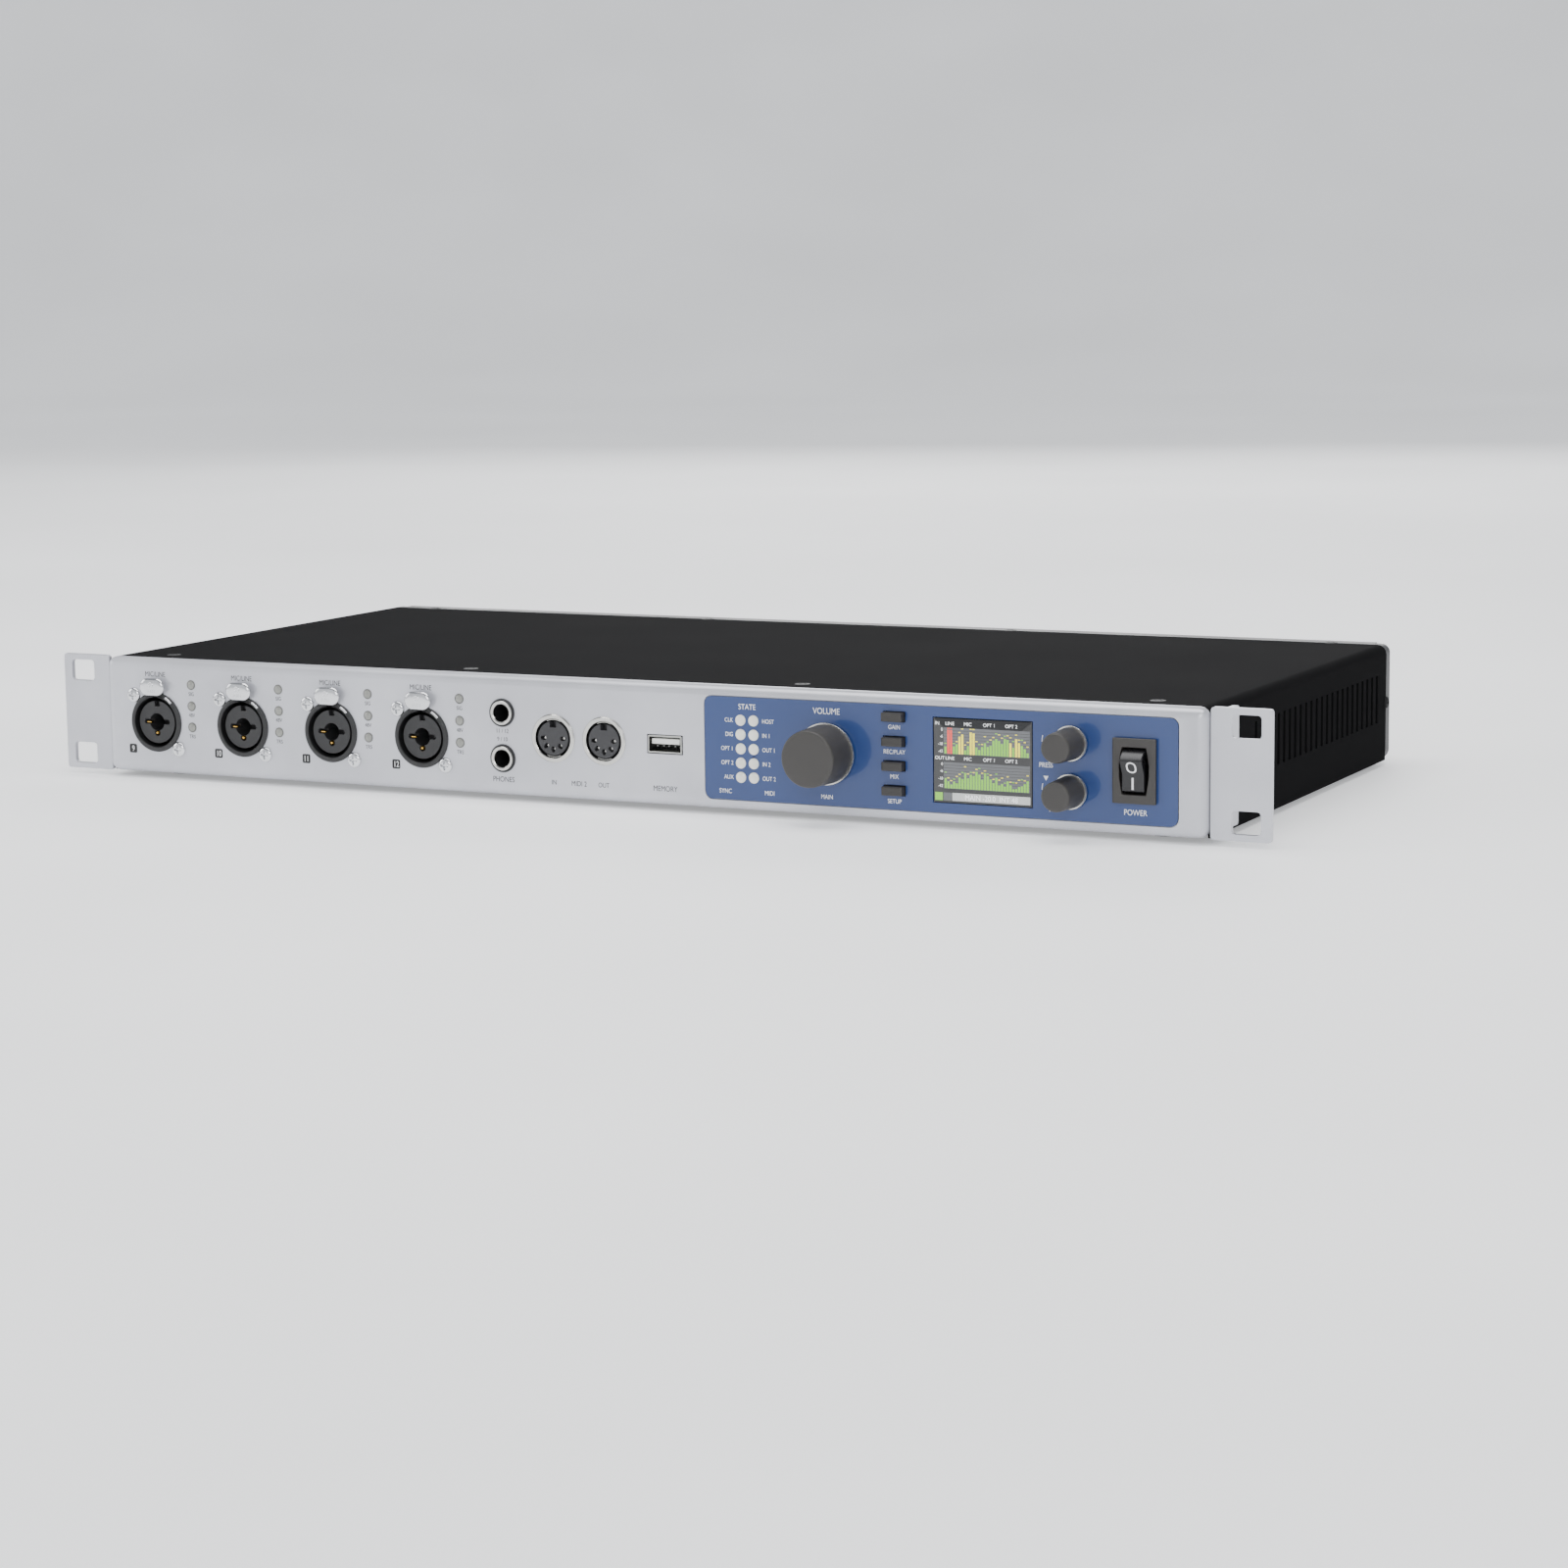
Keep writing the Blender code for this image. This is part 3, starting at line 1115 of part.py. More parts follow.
def make_cable_retainer():
    """A bent wire on a hexagon nut: the mains cord lies in its loop and can't work loose."""
    origin = (RIGHT - RETAINER_INSET, BODY_DEPTH, RETAINER_Z)
    start = math.atan2(BOND - RETAINER_STANDOFF, -RETAINER_SHIFT) + 2 * math.pi
    steps = 16
    path = []
    for step in range(steps + 1):
        share = step / steps
        angle = start * (1 - share)
        away = RETAINER_SHIFT + RETAINER_LOOP * math.cos(angle)
        out = RETAINER_STANDOFF + RETAINER_LOOP * math.sin(angle)
        path.append((-away, out, -RETAINER_SAG * min(1.0, 4 * share)))
    path.append((-RETAINER_LEG, BOND, -RETAINER_SAG / 2))
    hook = wire("cable_retainer", path, RETAINER_WIRE, origin, "zinc_plate")
    nut = bmesh.new()
    rod_on(nut, REAR, origin[0], RETAINER_Z, RETAINER_NUT, GAP, GAP + RETAINER_NUT_DEPTH, 6)
    fuse(hook, to_object("cable_retainer_nut", nut, origin))


def optical_housings():
    """Each double optical housing: middle X, middle Z, width and height."""
    places = optical_places()
    width = OPTICAL_PITCH + SHUTTER_WIDTH + 2 * GAP + 2 * OPTICAL_WALL
    height = SHUTTER_HEIGHT + 2 * GAP + 2 * OPTICAL_WALL
    return [((places[first] + places[first + 1]) / 2, OPTICAL_Z, width, height) for first in (0, 2)]


def make_optical_ports():
    """Two housings of two wells each; a sprung shutter closes each well."""
    places = optical_places()
    for index, (x, z, width, height) in enumerate(optical_housings(), start=1):
        origin = (x, REAR.face, z)
        bm = bmesh.new()
        block_on(bm, REAR, around(x, width), around(z, height), OPTICAL_PROUD, -OPTICAL_BODY_DEPTH)
        housing = to_object(f"optical_housing_{index}", bm, origin, "black_plastic")
        for port_x in places[2 * index - 2:2 * index]:
            well = bmesh.new()
            block_on(well, REAR, around(port_x, SHUTTER_WIDTH + 2 * GAP),
                     around(z, SHUTTER_HEIGHT + 2 * GAP), OVERCUT, -OPTICAL_CAVITY_DEPTH)
            low_edges = [edge for edge in edges_along(well, 1) if edge.verts[0].co.z < z]
            round_over(well, low_edges, SHUTTER_CHAMFER, 1)
            cut(housing, to_object(f"{housing.name}_well", well, (port_x, REAR.face, z)))
    for index, x in enumerate(places, start=1):
        shutter_y = REAR.face - SHUTTER_RECESS - SHUTTER_SHEET / 2
        pivot = (x, shutter_y, OPTICAL_Z + SHUTTER_HEIGHT / 2 - SHUTTER_PIVOT_DROP)
        bm = bmesh.new()
        block_on(bm, REAR, around(x, SHUTTER_WIDTH), around(OPTICAL_Z, SHUTTER_HEIGHT),
                 -SHUTTER_RECESS, -SHUTTER_RECESS - SHUTTER_SHEET)
        low_edges = [edge for edge in edges_along(bm, 1) if edge.verts[0].co.z < OPTICAL_Z]
        round_over(bm, low_edges, SHUTTER_CHAMFER, 1)
        to_object(f"optical_shutter_{index}", bm, pivot, "clear_grey_plastic")


# ---- Controls ----------------------------------------------------------------------------------------------
def make_encoders():
    """Push encoders: a knob with its shaft, and the stem that it pushes behind the panel."""
    knob_back = FRONT.face - OVERLAY_PROUD - GAP - PUSH_TRAVEL
    shaft_end = PANEL_BACK + GAP + BOND
    for name, x, z, radius, shaft, reach in encoder_places():
        face = FRONT.face - reach
        edge = radius / 10
        profile = [
            (0.0, shaft_end), (shaft, shaft_end), (shaft, knob_back), (radius + KNOB_SKIRT, knob_back),
            (radius + KNOB_SKIRT, knob_back - KNOB_SKIRT_DEPTH), (radius, knob_back - KNOB_SKIRT_DEPTH),
            (radius - KNOB_TAPER, face + edge), (radius - KNOB_TAPER - edge, face), (0.0, face),
        ]
        turned(f"{name}_knob", profile, 24, (x, 0.0, z), "knob_plastic")
        stem = bmesh.new()
        low = shaft_end + GAP
        centre = (x, low + STEM_LENGTH / 2, z)
        add_rod(stem, "Y", centre, STEM_RADIUS, STEM_LENGTH, 12)
        to_object(f"{name}_stem", stem, centre, "zinc_plate")


def make_menu_buttons():
    """Four push buttons, each kept behind the panel by its own flange."""
    x = RIGHT - BUTTON_INSET
    flange_near = behind(FRONT)
    for index, z in enumerate(button_heights(), start=1):
        origin = (x, FRONT.face, z)
        bm = bmesh.new()
        block_on(bm, FRONT, around(x, BUTTON_WIDTH), around(z, BUTTON_HEIGHT),
                 BUTTON_REACH, flange_near - BUTTON_FLANGE / 2)
        front = [edge for edge in bm.edges
                 if all(vert.co.y < FRONT.face - BUTTON_REACH + GAP for vert in edge.verts)]
        round_over(bm, front, BUTTON_BEVEL, 1)
        button = to_object(f"menu_button_{index}", bm, origin, "knob_plastic")
        flange = bmesh.new()
        block_on(flange, FRONT, around(x, BUTTON_WIDTH + 2 * BUTTON_FLANGE),
                 around(z, BUTTON_HEIGHT + 2 * BUTTON_FLANGE), flange_near, flange_near - BUTTON_FLANGE)
        fuse(button, to_object(f"menu_button_{index}_flange", flange, origin))


def make_display():
    """The display: its window stands in the overlay's opening, its body behind the panel."""
    x = RIGHT - DISPLAY_INSET
    bm = bmesh.new()
    block_on(bm, FRONT, around(x, DISPLAY_WIDTH), around(0.0, DISPLAY_HEIGHT), 0.0,
             behind(FRONT) - BOND)
    display = to_object("display_module", bm, (x, FRONT.face, 0.0), "display_glass")
    body = bmesh.new()
    block_on(body, FRONT, around(x, DISPLAY_WIDTH + 2 * DISPLAY_BODY_MARGIN),
             around(0.0, DISPLAY_HEIGHT + 2 * DISPLAY_BODY_MARGIN), behind(FRONT),
             behind(FRONT) - DISPLAY_BODY_DEPTH)
    fuse(display, to_object("display_module_body", body, (x, FRONT.face, 0.0)))


def make_power_switch():
    """The mains switch: a bezelled housing and the rocker that tilts in its well."""
    x = RIGHT - POWER_INSET
    origin = (x, FRONT.face, 0.0)
    seat = OVERLAY_PROUD + GAP
    bm = bmesh.new()
    block_on(bm, FRONT, around(x, BEZEL_WIDTH), around(0.0, BEZEL_HEIGHT), seat, seat + BEZEL_PROUD)
    housing = to_object("power_switch_housing", bm, origin, "black_plastic")
    neck = bmesh.new()
    block_on(neck, FRONT, around(x, BEZEL_WIDTH - 2 * BEZEL_LIP),
             around(0.0, BEZEL_HEIGHT - 2 * BEZEL_LIP), seat + BEZEL_PROUD / 2, -POWER_BODY_DEPTH)
    fuse(housing, to_object("power_switch_neck", neck, origin))
    half_x = WELL_WIDTH / 2
    half_z = WELL_HEIGHT / 2
    quarter = [(half_x + WELL_BULGE, half_z / 4), (half_x, half_z)]
    upper = quarter + [(-across, up) for across, up in reversed(quarter)]
    barrel = upper + [(across, -up) for across, up in reversed(upper)]
    well_front = FRONT.face - seat - BEZEL_PROUD - OVERCUT
    well_back = FRONT.face + WELL_DEPTH
    cut(housing, flat_prism("power_switch_well", barrel, well_back - well_front, FACING_Y,
                            (x, (well_front + well_back) / 2, 0.0)))
    pivot = (x, FRONT.face - seat - BEZEL_PROUD + ROCKER_PIVOT_DEPTH, 0.0)
    radius = half_z - GAP
    end = [(-radius * math.cos(math.radians(angle)), radius * math.sin(math.radians(angle)))
           for angle in (45, 60, 75, 90, 105)]
    end.append((ROCKER_WAIST, radius / 3))
    outline = [(-ROCKER_WAIST, 0.0)] + end + [(along, -up) for along, up in reversed(end)]
    rocker = flat_prism("power_rocker", outline, WELL_WIDTH - 2 * GAP, FACING_X, pivot,
                        "black_plastic")
    rocker.rotation_euler = (ROCKER_TILT, 0.0, 0.0)


# ---- Boards ------------------------------------------------------------------------------------------------
def make_front_board():
    """The upright board behind the overlay, with encoder bodies, switches and light guides."""
    guides = guide_places()
    low_x = min(x for x, _ in guides) - BOARD_SPACE
    high_x = RIGHT - ENCODER_INSET + ENCODER_BLOCK / 2 + BOND
    half = FRONT_BOARD_HEIGHT / 2
    bm = bmesh.new()
    add_block(bm, (low_x, FRONT_BOARD_Y, -half), (high_x, FRONT_BOARD_Y + BOARD_SHEET, half))
    board = to_object("front_board", bm, (0, 0, 0), "circuit_board")
    blocks = bmesh.new()
    bores = bmesh.new()
    for _, x, z, _, _, _ in encoder_places():
        low = (x - ENCODER_BLOCK / 2, FRONT_BOARD_Y - ENCODER_BLOCK_DEPTH, z - ENCODER_BLOCK / 2)
        high = (x + ENCODER_BLOCK / 2, FRONT_BOARD_Y + BOND, z + ENCODER_BLOCK / 2)
        add_block(blocks, low, high)
        bore_length = ENCODER_BLOCK_DEPTH + OVERCUT
        centre = (x, FRONT_BOARD_Y - bore_length / 2, z)
        add_rod(bores, "Y", centre, STEM_RADIUS + STEM_CLEARANCE, bore_length, 12)
    for z in button_heights():
        x = RIGHT - BUTTON_INSET
        low = (x - SWITCH_BLOCK / 2, FRONT_BOARD_Y - SWITCH_BLOCK_DEPTH, z - SWITCH_BLOCK / 2)
        high = (x + SWITCH_BLOCK / 2, FRONT_BOARD_Y + BOND, z + SWITCH_BLOCK / 2)
        add_block(blocks, low, high)
    fuse(board, to_object("front_board_blocks", blocks, (0, 0, 0)))
    cut(board, to_object("front_board_bores", bores, (0, 0, 0)))
    rods = bmesh.new()
    guide_front = FRONT.face - OVERLAY_PROUD
    guide_back = FRONT_BOARD_Y + BOND
    for x, z in guides:
        centre = (x, (guide_front + guide_back) / 2, z)
        add_rod(rods, "Y", centre, GUIDE_RADIUS, guide_back - guide_front, 8)
    fuse(board, to_object("front_board_guides", rods, (0, 0, 0)))


def make_floor_boards():
    """The main board and the power supply, each lying on its four studs."""
    board_z = BOTTOM + TRAY_SHEET + STUD_HEIGHT + GAP
    rear = BODY_DEPTH - BOARD_REAR_ROOM
    main_range, supply_range = board_areas()
    for name, (low, high) in (("main_board", main_range), ("power_supply_board", supply_range)):
        bm = bmesh.new()
        add_block(bm, (low, BOARD_FRONT_Y, board_z), (high, rear, board_z + BOARD_SHEET))
        board = to_object(name, bm, (low, BOARD_FRONT_Y, board_z), "circuit_board")
        loads = bmesh.new()
        middle_y = (BOARD_FRONT_Y + rear) / 2
        if name == "main_board":
            for share in (0.25, 0.5, 0.75):
                middle = low + share * (high - low)
                half = CHIP_WIDTH / 2
                add_block(loads, (middle - half, middle_y - half, board_z + BOARD_SHEET / 2),
                          (middle + half, middle_y + half, board_z + BOARD_SHEET + CHIP_HEIGHT))
        else:
            width, depth, height = TRANSFORMER
            middle = low + 0.35 * (high - low)
            add_block(loads, (middle - width / 2, middle_y - depth / 2, board_z + BOARD_SHEET / 2),
                      (middle + width / 2, middle_y + depth / 2, board_z + BOARD_SHEET + height))
            for step in (-1, 1):
                centre = (low + 0.80 * (high - low), middle_y + 1.5 * step * CAPACITOR_RADIUS,
                          board_z + BOARD_SHEET / 2 + CAPACITOR_HEIGHT / 2)
                add_rod(loads, "Z", centre, CAPACITOR_RADIUS, CAPACITOR_HEIGHT, 12)
        fuse(board, to_object(name + "_parts", loads, (low, BOARD_FRONT_Y, board_z)))


clear_scene()
PIECES = new_collection("audio_interface")
CUTTERS = new_collection("cutters")
FRAME = bpy.data.objects.new("unit_frame", None)
FRAME.location = (0.0, (FRONT_REACH - REAR_REACH) / 2, FOOT_LIFT + BODY_HEIGHT / 2)
PIECES.objects.link(FRAME)

make_front_panel()
make_overlay()
make_top_cover()
make_base_tray()
make_rear_panel()
make_ears()
make_feet()
make_combos()
make_digital_in()
make_male_outputs()
make_jacks()
make_midi_sockets()
make_clock_sockets()
make_ports()
make_mains_inlet()
make_cable_retainer()
make_optical_ports()
make_encoders()
make_menu_buttons()
make_display()
make_power_switch()
make_front_board()
make_floor_boards()
bpy.context.view_layer.update()
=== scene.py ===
import json
import math

import bmesh
import bpy
import numpy as np
from mathutils import Matrix, Vector

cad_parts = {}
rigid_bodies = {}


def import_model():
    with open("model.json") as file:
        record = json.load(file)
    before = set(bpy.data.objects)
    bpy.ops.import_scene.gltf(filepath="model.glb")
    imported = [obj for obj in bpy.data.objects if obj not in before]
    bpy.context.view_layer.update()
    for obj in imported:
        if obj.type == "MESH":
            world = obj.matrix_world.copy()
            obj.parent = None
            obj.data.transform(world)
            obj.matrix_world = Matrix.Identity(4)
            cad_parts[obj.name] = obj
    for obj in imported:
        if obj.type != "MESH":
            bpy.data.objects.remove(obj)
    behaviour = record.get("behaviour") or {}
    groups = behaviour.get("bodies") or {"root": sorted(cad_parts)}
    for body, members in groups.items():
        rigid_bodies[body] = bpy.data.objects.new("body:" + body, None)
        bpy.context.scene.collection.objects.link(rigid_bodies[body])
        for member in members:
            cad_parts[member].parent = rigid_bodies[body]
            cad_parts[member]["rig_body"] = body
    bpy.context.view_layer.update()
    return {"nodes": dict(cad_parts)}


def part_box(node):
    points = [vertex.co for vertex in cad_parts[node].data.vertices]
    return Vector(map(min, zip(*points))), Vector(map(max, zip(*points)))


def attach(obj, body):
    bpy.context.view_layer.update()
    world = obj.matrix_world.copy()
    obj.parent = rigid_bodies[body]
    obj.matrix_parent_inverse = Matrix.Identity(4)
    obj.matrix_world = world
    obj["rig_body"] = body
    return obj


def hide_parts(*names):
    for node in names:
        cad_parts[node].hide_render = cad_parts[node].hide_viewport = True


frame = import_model()


# ==== Front panel =========================================================================
# The front is one aluminium extrusion, milled for its sockets, with softly rounded edges.
# It is sprayed with a fine silver lacquer, which gives a satin sheen with a faint sparkle
# and a bright line where the top edge turns over.

MM = 0.001


def linear(code):
    """Turns an sRGB hex colour into linear light with full alpha."""
    parts = [int(code[start:start + 2], 16) / 255 for start in (1, 3, 5)]
    lit = [part / 12.92 if part <= 0.04045 else ((part + 0.055) / 1.055) ** 2.4 for part in parts]
    return (*lit, 1.0)


def add_node(material, kind, settings, links):
    """Adds one node: settings fill its sockets or properties, and links feed its sockets."""
    node = material.node_tree.nodes.new(kind)
    for key, value in settings.items():
        if key in node.inputs:
            node.inputs[key].default_value = value
        else:
            setattr(node, key, value)
    for key, source in links.items():
        material.node_tree.links.new(source, node.inputs[key])
    return node


def finish(name, code, roughness, grain, depth, spread=0.05, cloud=14.0, **sockets):
    """A surface with a fine grain and a slow drift in its gloss and shade; sizes in millimetres.

    The grain is noise of that size, felt as a bump of that depth. The drift is noise of the
    cloud's size, which moves the roughness by the spread and the colour's value by 7 percent.
    """
    material = bpy.data.materials.new(name)
    material.use_nodes = True
    tree = material.node_tree
    shader = tree.nodes["Principled BSDF"]
    for key, value in sockets.items():
        shader.inputs[key.replace("_", " ")].default_value = value
    place = add_node(material, "ShaderNodeTexCoord", {}, {}).outputs["Object"]
    fine = add_node(material, "ShaderNodeTexNoise", {"Scale": 1 / (grain * MM), "Detail": 3.0},
                    {"Vector": place}).outputs["Fac"]
    bump = add_node(material, "ShaderNodeBump", {"Distance": depth * MM}, {"Height": fine})
    tree.links.new(bump.outputs["Normal"], shader.inputs["Normal"])
    drift = add_node(material, "ShaderNodeTexNoise", {"Scale": 1 / (cloud * MM), "Detail": 4.0},
                     {"Vector": place}).outputs["Fac"]
    reach = {"From Min": 0.3, "From Max": 0.7}
    gloss = add_node(material, "ShaderNodeMapRange",
                     {**reach, "To Min": roughness - spread, "To Max": roughness + spread},
                     {"Value": drift})
    tree.links.new(gloss.outputs["Result"], shader.inputs["Roughness"])
    value = add_node(material, "ShaderNodeMapRange", {**reach, "To Min": 0.93, "To Max": 1.07},
                     {"Value": drift})
    shade = add_node(material, "ShaderNodeHueSaturation", {"Color": linear(code)},
                     {"Value": value.outputs["Result"]})
    tree.links.new(shade.outputs["Color"], shader.inputs["Base Color"])
    return material


def fair_copy(node, material, edge=0.0, sharp=40):
    """A CAD node's own shape with merged corners, soft shading over its bends and broken edges."""
    mesh = frame["nodes"][node].data.copy()
    bm = bmesh.new()
    bm.from_mesh(mesh)
    bmesh.ops.remove_doubles(bm, verts=bm.verts, dist=0.002 * MM)
    bmesh.ops.dissolve_limit(bm, angle_limit=math.radians(0.5), verts=bm.verts, edges=bm.edges)
    bm.to_mesh(mesh)
    bm.free()
    mesh.materials.clear()
    mesh.materials.append(material)
    mesh.shade_smooth()
    mesh.set_sharp_from_angle(angle=math.radians(sharp))
    piece = bpy.data.objects.new(node + "_finished", mesh)
    bpy.context.scene.collection.objects.link(piece)
    if edge:
        broken = piece.modifiers.new("broken_edges", "BEVEL")
        broken.width = edge * MM
        broken.segments = 2
        broken.limit_method = "ANGLE"
        broken.angle_limit = math.radians(sharp)
    even = piece.modifiers.new("even_shading", "WEIGHTED_NORMAL")
    even.keep_sharp = True
    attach(piece, frame["nodes"][node]["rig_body"])
    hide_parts(node)
    return piece


silver_lacquer = finish("silver_lacquer_sprayed_on_aluminium", "#c3c4ca", 0.36, 0.22, 0.006,
                        spread=0.04, cloud=30.0, Metallic=0.45, Coat_Weight=0.15,
                        Coat_Roughness=0.25)
fair_copy("front_panel", silver_lacquer, edge=0.12)
panel_low, panel_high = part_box("front_panel")
panel_face = panel_low.y
middle = (panel_low.z + panel_high.z) / 2


# ==== Rack ears ===========================================================================
# Two angle brackets of 2 mm steel, punched for the rack screws and lacquered like the panel.
# Two countersunk screws hold each one to the side of the case.

for hand in ("left", "right"):
    fair_copy(f"rack_ear_{hand}", silver_lacquer, edge=0.25)


# ==== Cover, tray and feet ================================================================
# Cover and tray are folded steel sheet with a matt black powder coat, whose fine orange peel
# turns the light into a soft grey. The feet are moulded rubber.

powder_coat = finish("black_powder_coat_baked_on_steel", "#131314", 0.85, 0.45, 0.02, spread=0.02,
                     cloud=50.0, Specular_IOR_Level=0.02)
foot_rubber = finish("black_rubber_moulded", "#141414", 0.75, 0.6, 0.02)
fair_copy("top_cover", powder_coat)
fair_copy("base_tray", powder_coat)
for row in ("front", "rear"):
    for hand in ("left", "right"):
        fair_copy(f"foot_{row}_{hand}", foot_rubber, edge=0.3)


# ==== Rear panel ==========================================================================
# A pressed steel pan with round posts at its ends, powder coated in a dark grey with fine
# lighter specks.

rear_coat = finish("grey_powder_coat_baked_on_steel", "#29292b", 0.46, 0.35, 0.03, cloud=40.0)
fair_copy("rear_panel", rear_coat, edge=0.12)
rear_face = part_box("rear_panel")[1].y - 2.0 * MM


# ==== Boards ==============================================================================
# Green glass-fibre boards with a dull solder mask. Only the tips of the front board's clear
# light guides show, at the panel.

board_mask = finish("green_solder_mask_on_glass_fibre", "#1d5a3c", 0.45, 0.5, 0.02)
for board in ("front_board", "main_board", "power_supply_board"):
    fair_copy(board, board_mask)


# ==== Control overlay =====================================================================
# The right part of the panel is a thin polycarbonate plate, printed blue on its back.
# The clear front stays glossy, so the knobs are mirrored in it as darker blue shapes.

blue_print = finish("blue_printed_polycarbonate", "#213a6e", 0.32, 0.5, 0.0008, spread=0.03,
                    cloud=60.0, Coat_Weight=0.5, Coat_Roughness=0.05, IOR=1.45)
fair_copy("control_overlay", blue_print, edge=0.08)


# ==== Combination sockets =================================================================
# Four moulded nylon sockets, each with a round collar, a deep groove and an insert with a
# quarter-inch bore, side notches and a gold-plated contact. Two chromed pan-head screws
# hold each one.

# Each side's directions across, up and outwards, as rows
FRONT = np.array([[1, 0, 0], [0, 0, 1], [0, -1, 0]])
REAR = np.array([[-1, 0, 0], [0, 0, 1], [0, 1, 0]])
nylon = finish("black_nylon_moulded", "#1a1a1b", 0.42, 0.5, 0.01)
insert_nylon = finish("grey_black_nylon_moulded", "#242425", 0.5, 0.4, 0.01)
chrome = finish("chrome_plated_steel", "#d9dadc", 0.14, 0.6, 0.002, spread=0.03, Metallic=1.0)
gold = finish("gold_plated_brass", "#e2b45a", 0.22, 0.4, 0.002, spread=0.03, Metallic=1.0)


def place(points, spot, side):
    """Puts (across, up, outward) millimetres at a spot on one side of the case."""
    return np.asarray(spot) + np.asarray(points, float) * MM @ side


def spot_of(node, side):
    """The spot on the front or rear face in line with the middle of a node's box."""
    low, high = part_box(node)
    face = panel_face if side is FRONT else rear_face
    return np.array([(low.x + high.x) / 2, face, (low.z + high.z) / 2])


def shell(grid):
    """Corners and faces of a grid of points, wrapped round along its columns."""
    rows, count = grid.shape[:2]
    index = np.arange(rows * count).reshape(rows, count)
    onward = np.roll(index, -1, axis=1)
    faces = np.stack([index[:-1], onward[:-1], onward[1:], index[1:]], axis=-1)
    return grid.reshape(-1, 3), faces.reshape(-1, 4).tolist()


def layers(levels, spot, side, material, count=64):
    """Outlines stacked along the outward axis; a level without size closes an end.

    A level is (radius, out), or (half width, half height, corner, out): quarter circles of the
    corner radius about four centres, joined by straight sides.
    """
    turn = (np.arange(count) + 0.5) * 2 * np.pi / count
    levels = [level if len(level) == 4 else (level[0], level[0], level[0], level[1])
              for level in levels]
    half_x, half_z, corner, out = (np.array(column)[:, None] for column in zip(*levels))
    across = np.sign(np.cos(turn)) * (half_x - corner) + corner * np.cos(turn)
    up = np.sign(np.sin(turn)) * (half_z - corner) + corner * np.sin(turn)
    grid = np.stack([across, up, np.broadcast_to(out, across.shape)], axis=-1)
    return (*shell(place(grid, spot, side)), material)


def block(low, high, spot, side, material):
    """A plain bar between two corners in (across, up, outward) millimetres."""
    grid = [[(low[0], low[1], out), (high[0], low[1], out), (high[0], high[1], out),
             (low[0], high[1], out)] for out in (low[2], high[2])]
    points, faces = shell(place(grid, spot, side))
    return points, faces + [[0, 1, 2, 3], [7, 6, 5, 4]], material


def relief(radius, height, rim, spot, side, material, rows=30, count=96):
    """A round face whose height is a function of the place on it; turned levels close its back."""
    turn = np.arange(count) * 2 * np.pi / count
    reach = np.linspace(0, radius, rows)[:, None]
    across, up = reach * np.cos(turn), reach * np.sin(turn)
    face = np.stack([across, up, height(across, up)], axis=-1)
    back = [np.stack([level * np.cos(turn), level * np.sin(turn), np.full(count, out)], axis=-1)
            for level, out in rim]
    return (*shell(place(np.concatenate([face, back]), spot, side)), material)


def tube(path, radius, spot, side, material, square_to=(0, 1, 0), count=12):
    """A round wire: circles square to the path's direction at each point, closed at its ends."""
    path = np.asarray(path, float)
    along = np.gradient(path, axis=0)
    along /= np.linalg.norm(along, axis=1)[:, None]
    first = np.cross(along, square_to)
    first /= np.linalg.norm(first, axis=1)[:, None]
    second = np.cross(first, along)
    turn = np.arange(count)[:, None] * 2 * np.pi / count
    size = np.full(len(path), radius)
    rings = (path[:, None] + size[:, None, None] * (np.cos(turn) * first[:, None]
                                                    + np.sin(turn) * second[:, None]))
    ends = [np.repeat(path[[end]], count, axis=0)[None] for end in (0, -1)]
    return (*shell(place(np.concatenate([ends[0], rings, ends[1]]), spot, side)), material)


def make_piece(name, parts, body, replaced=(), sharp=35):
    """One object of closed shells; each part brings its corners, faces and material."""
    mesh = bpy.data.meshes.new(name)
    whole = bmesh.new()
    for points, faces, material in parts:
        if material.name not in mesh.materials:
            mesh.materials.append(material)
        raw = bpy.data.meshes.new(name + "_part")
        raw.from_pydata(points, [], faces)
        bm = bmesh.new()
        bm.from_mesh(raw)
        bmesh.ops.remove_doubles(bm, verts=bm.verts, dist=0.0005 * MM)
        bmesh.ops.dissolve_degenerate(bm, edges=bm.edges, dist=0.0005 * MM)
        bmesh.ops.recalc_face_normals(bm, faces=bm.faces)
        for face in bm.faces:
            face.material_index = mesh.materials.find(material.name)
        bm.to_mesh(raw)
        bm.free()
        whole.from_mesh(raw)
        bpy.data.meshes.remove(raw)
    whole.to_mesh(mesh)
    whole.free()
    mesh.shade_smooth()
    mesh.set_sharp_from_angle(angle=math.radians(sharp))
    piece = bpy.data.objects.new(name, mesh)
    bpy.context.scene.collection.objects.link(piece)
    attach(piece, body)
    if replaced:
        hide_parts(*replaced)
    return piece


def step(value, width=0.2):
    """Rises smoothly from 0 to 1 as the value passes from below to above nought."""
    share = np.clip(value / width + 0.5, 0, 1)
    return share * share * (3 - 2 * share)


def disc(across, up, x, z, radius, width=0.2):
    """1 inside a circle and 0 outside, with a soft edge."""
    return step(radius - np.hypot(across - x, up - z), width)


def panel(across, up, x, z, half_x, half_z, width=0.2):
    """1 inside a rectangle and 0 outside, with a soft edge."""
    return step(half_x - abs(across - x), width) * step(half_z - abs(up - z), width)


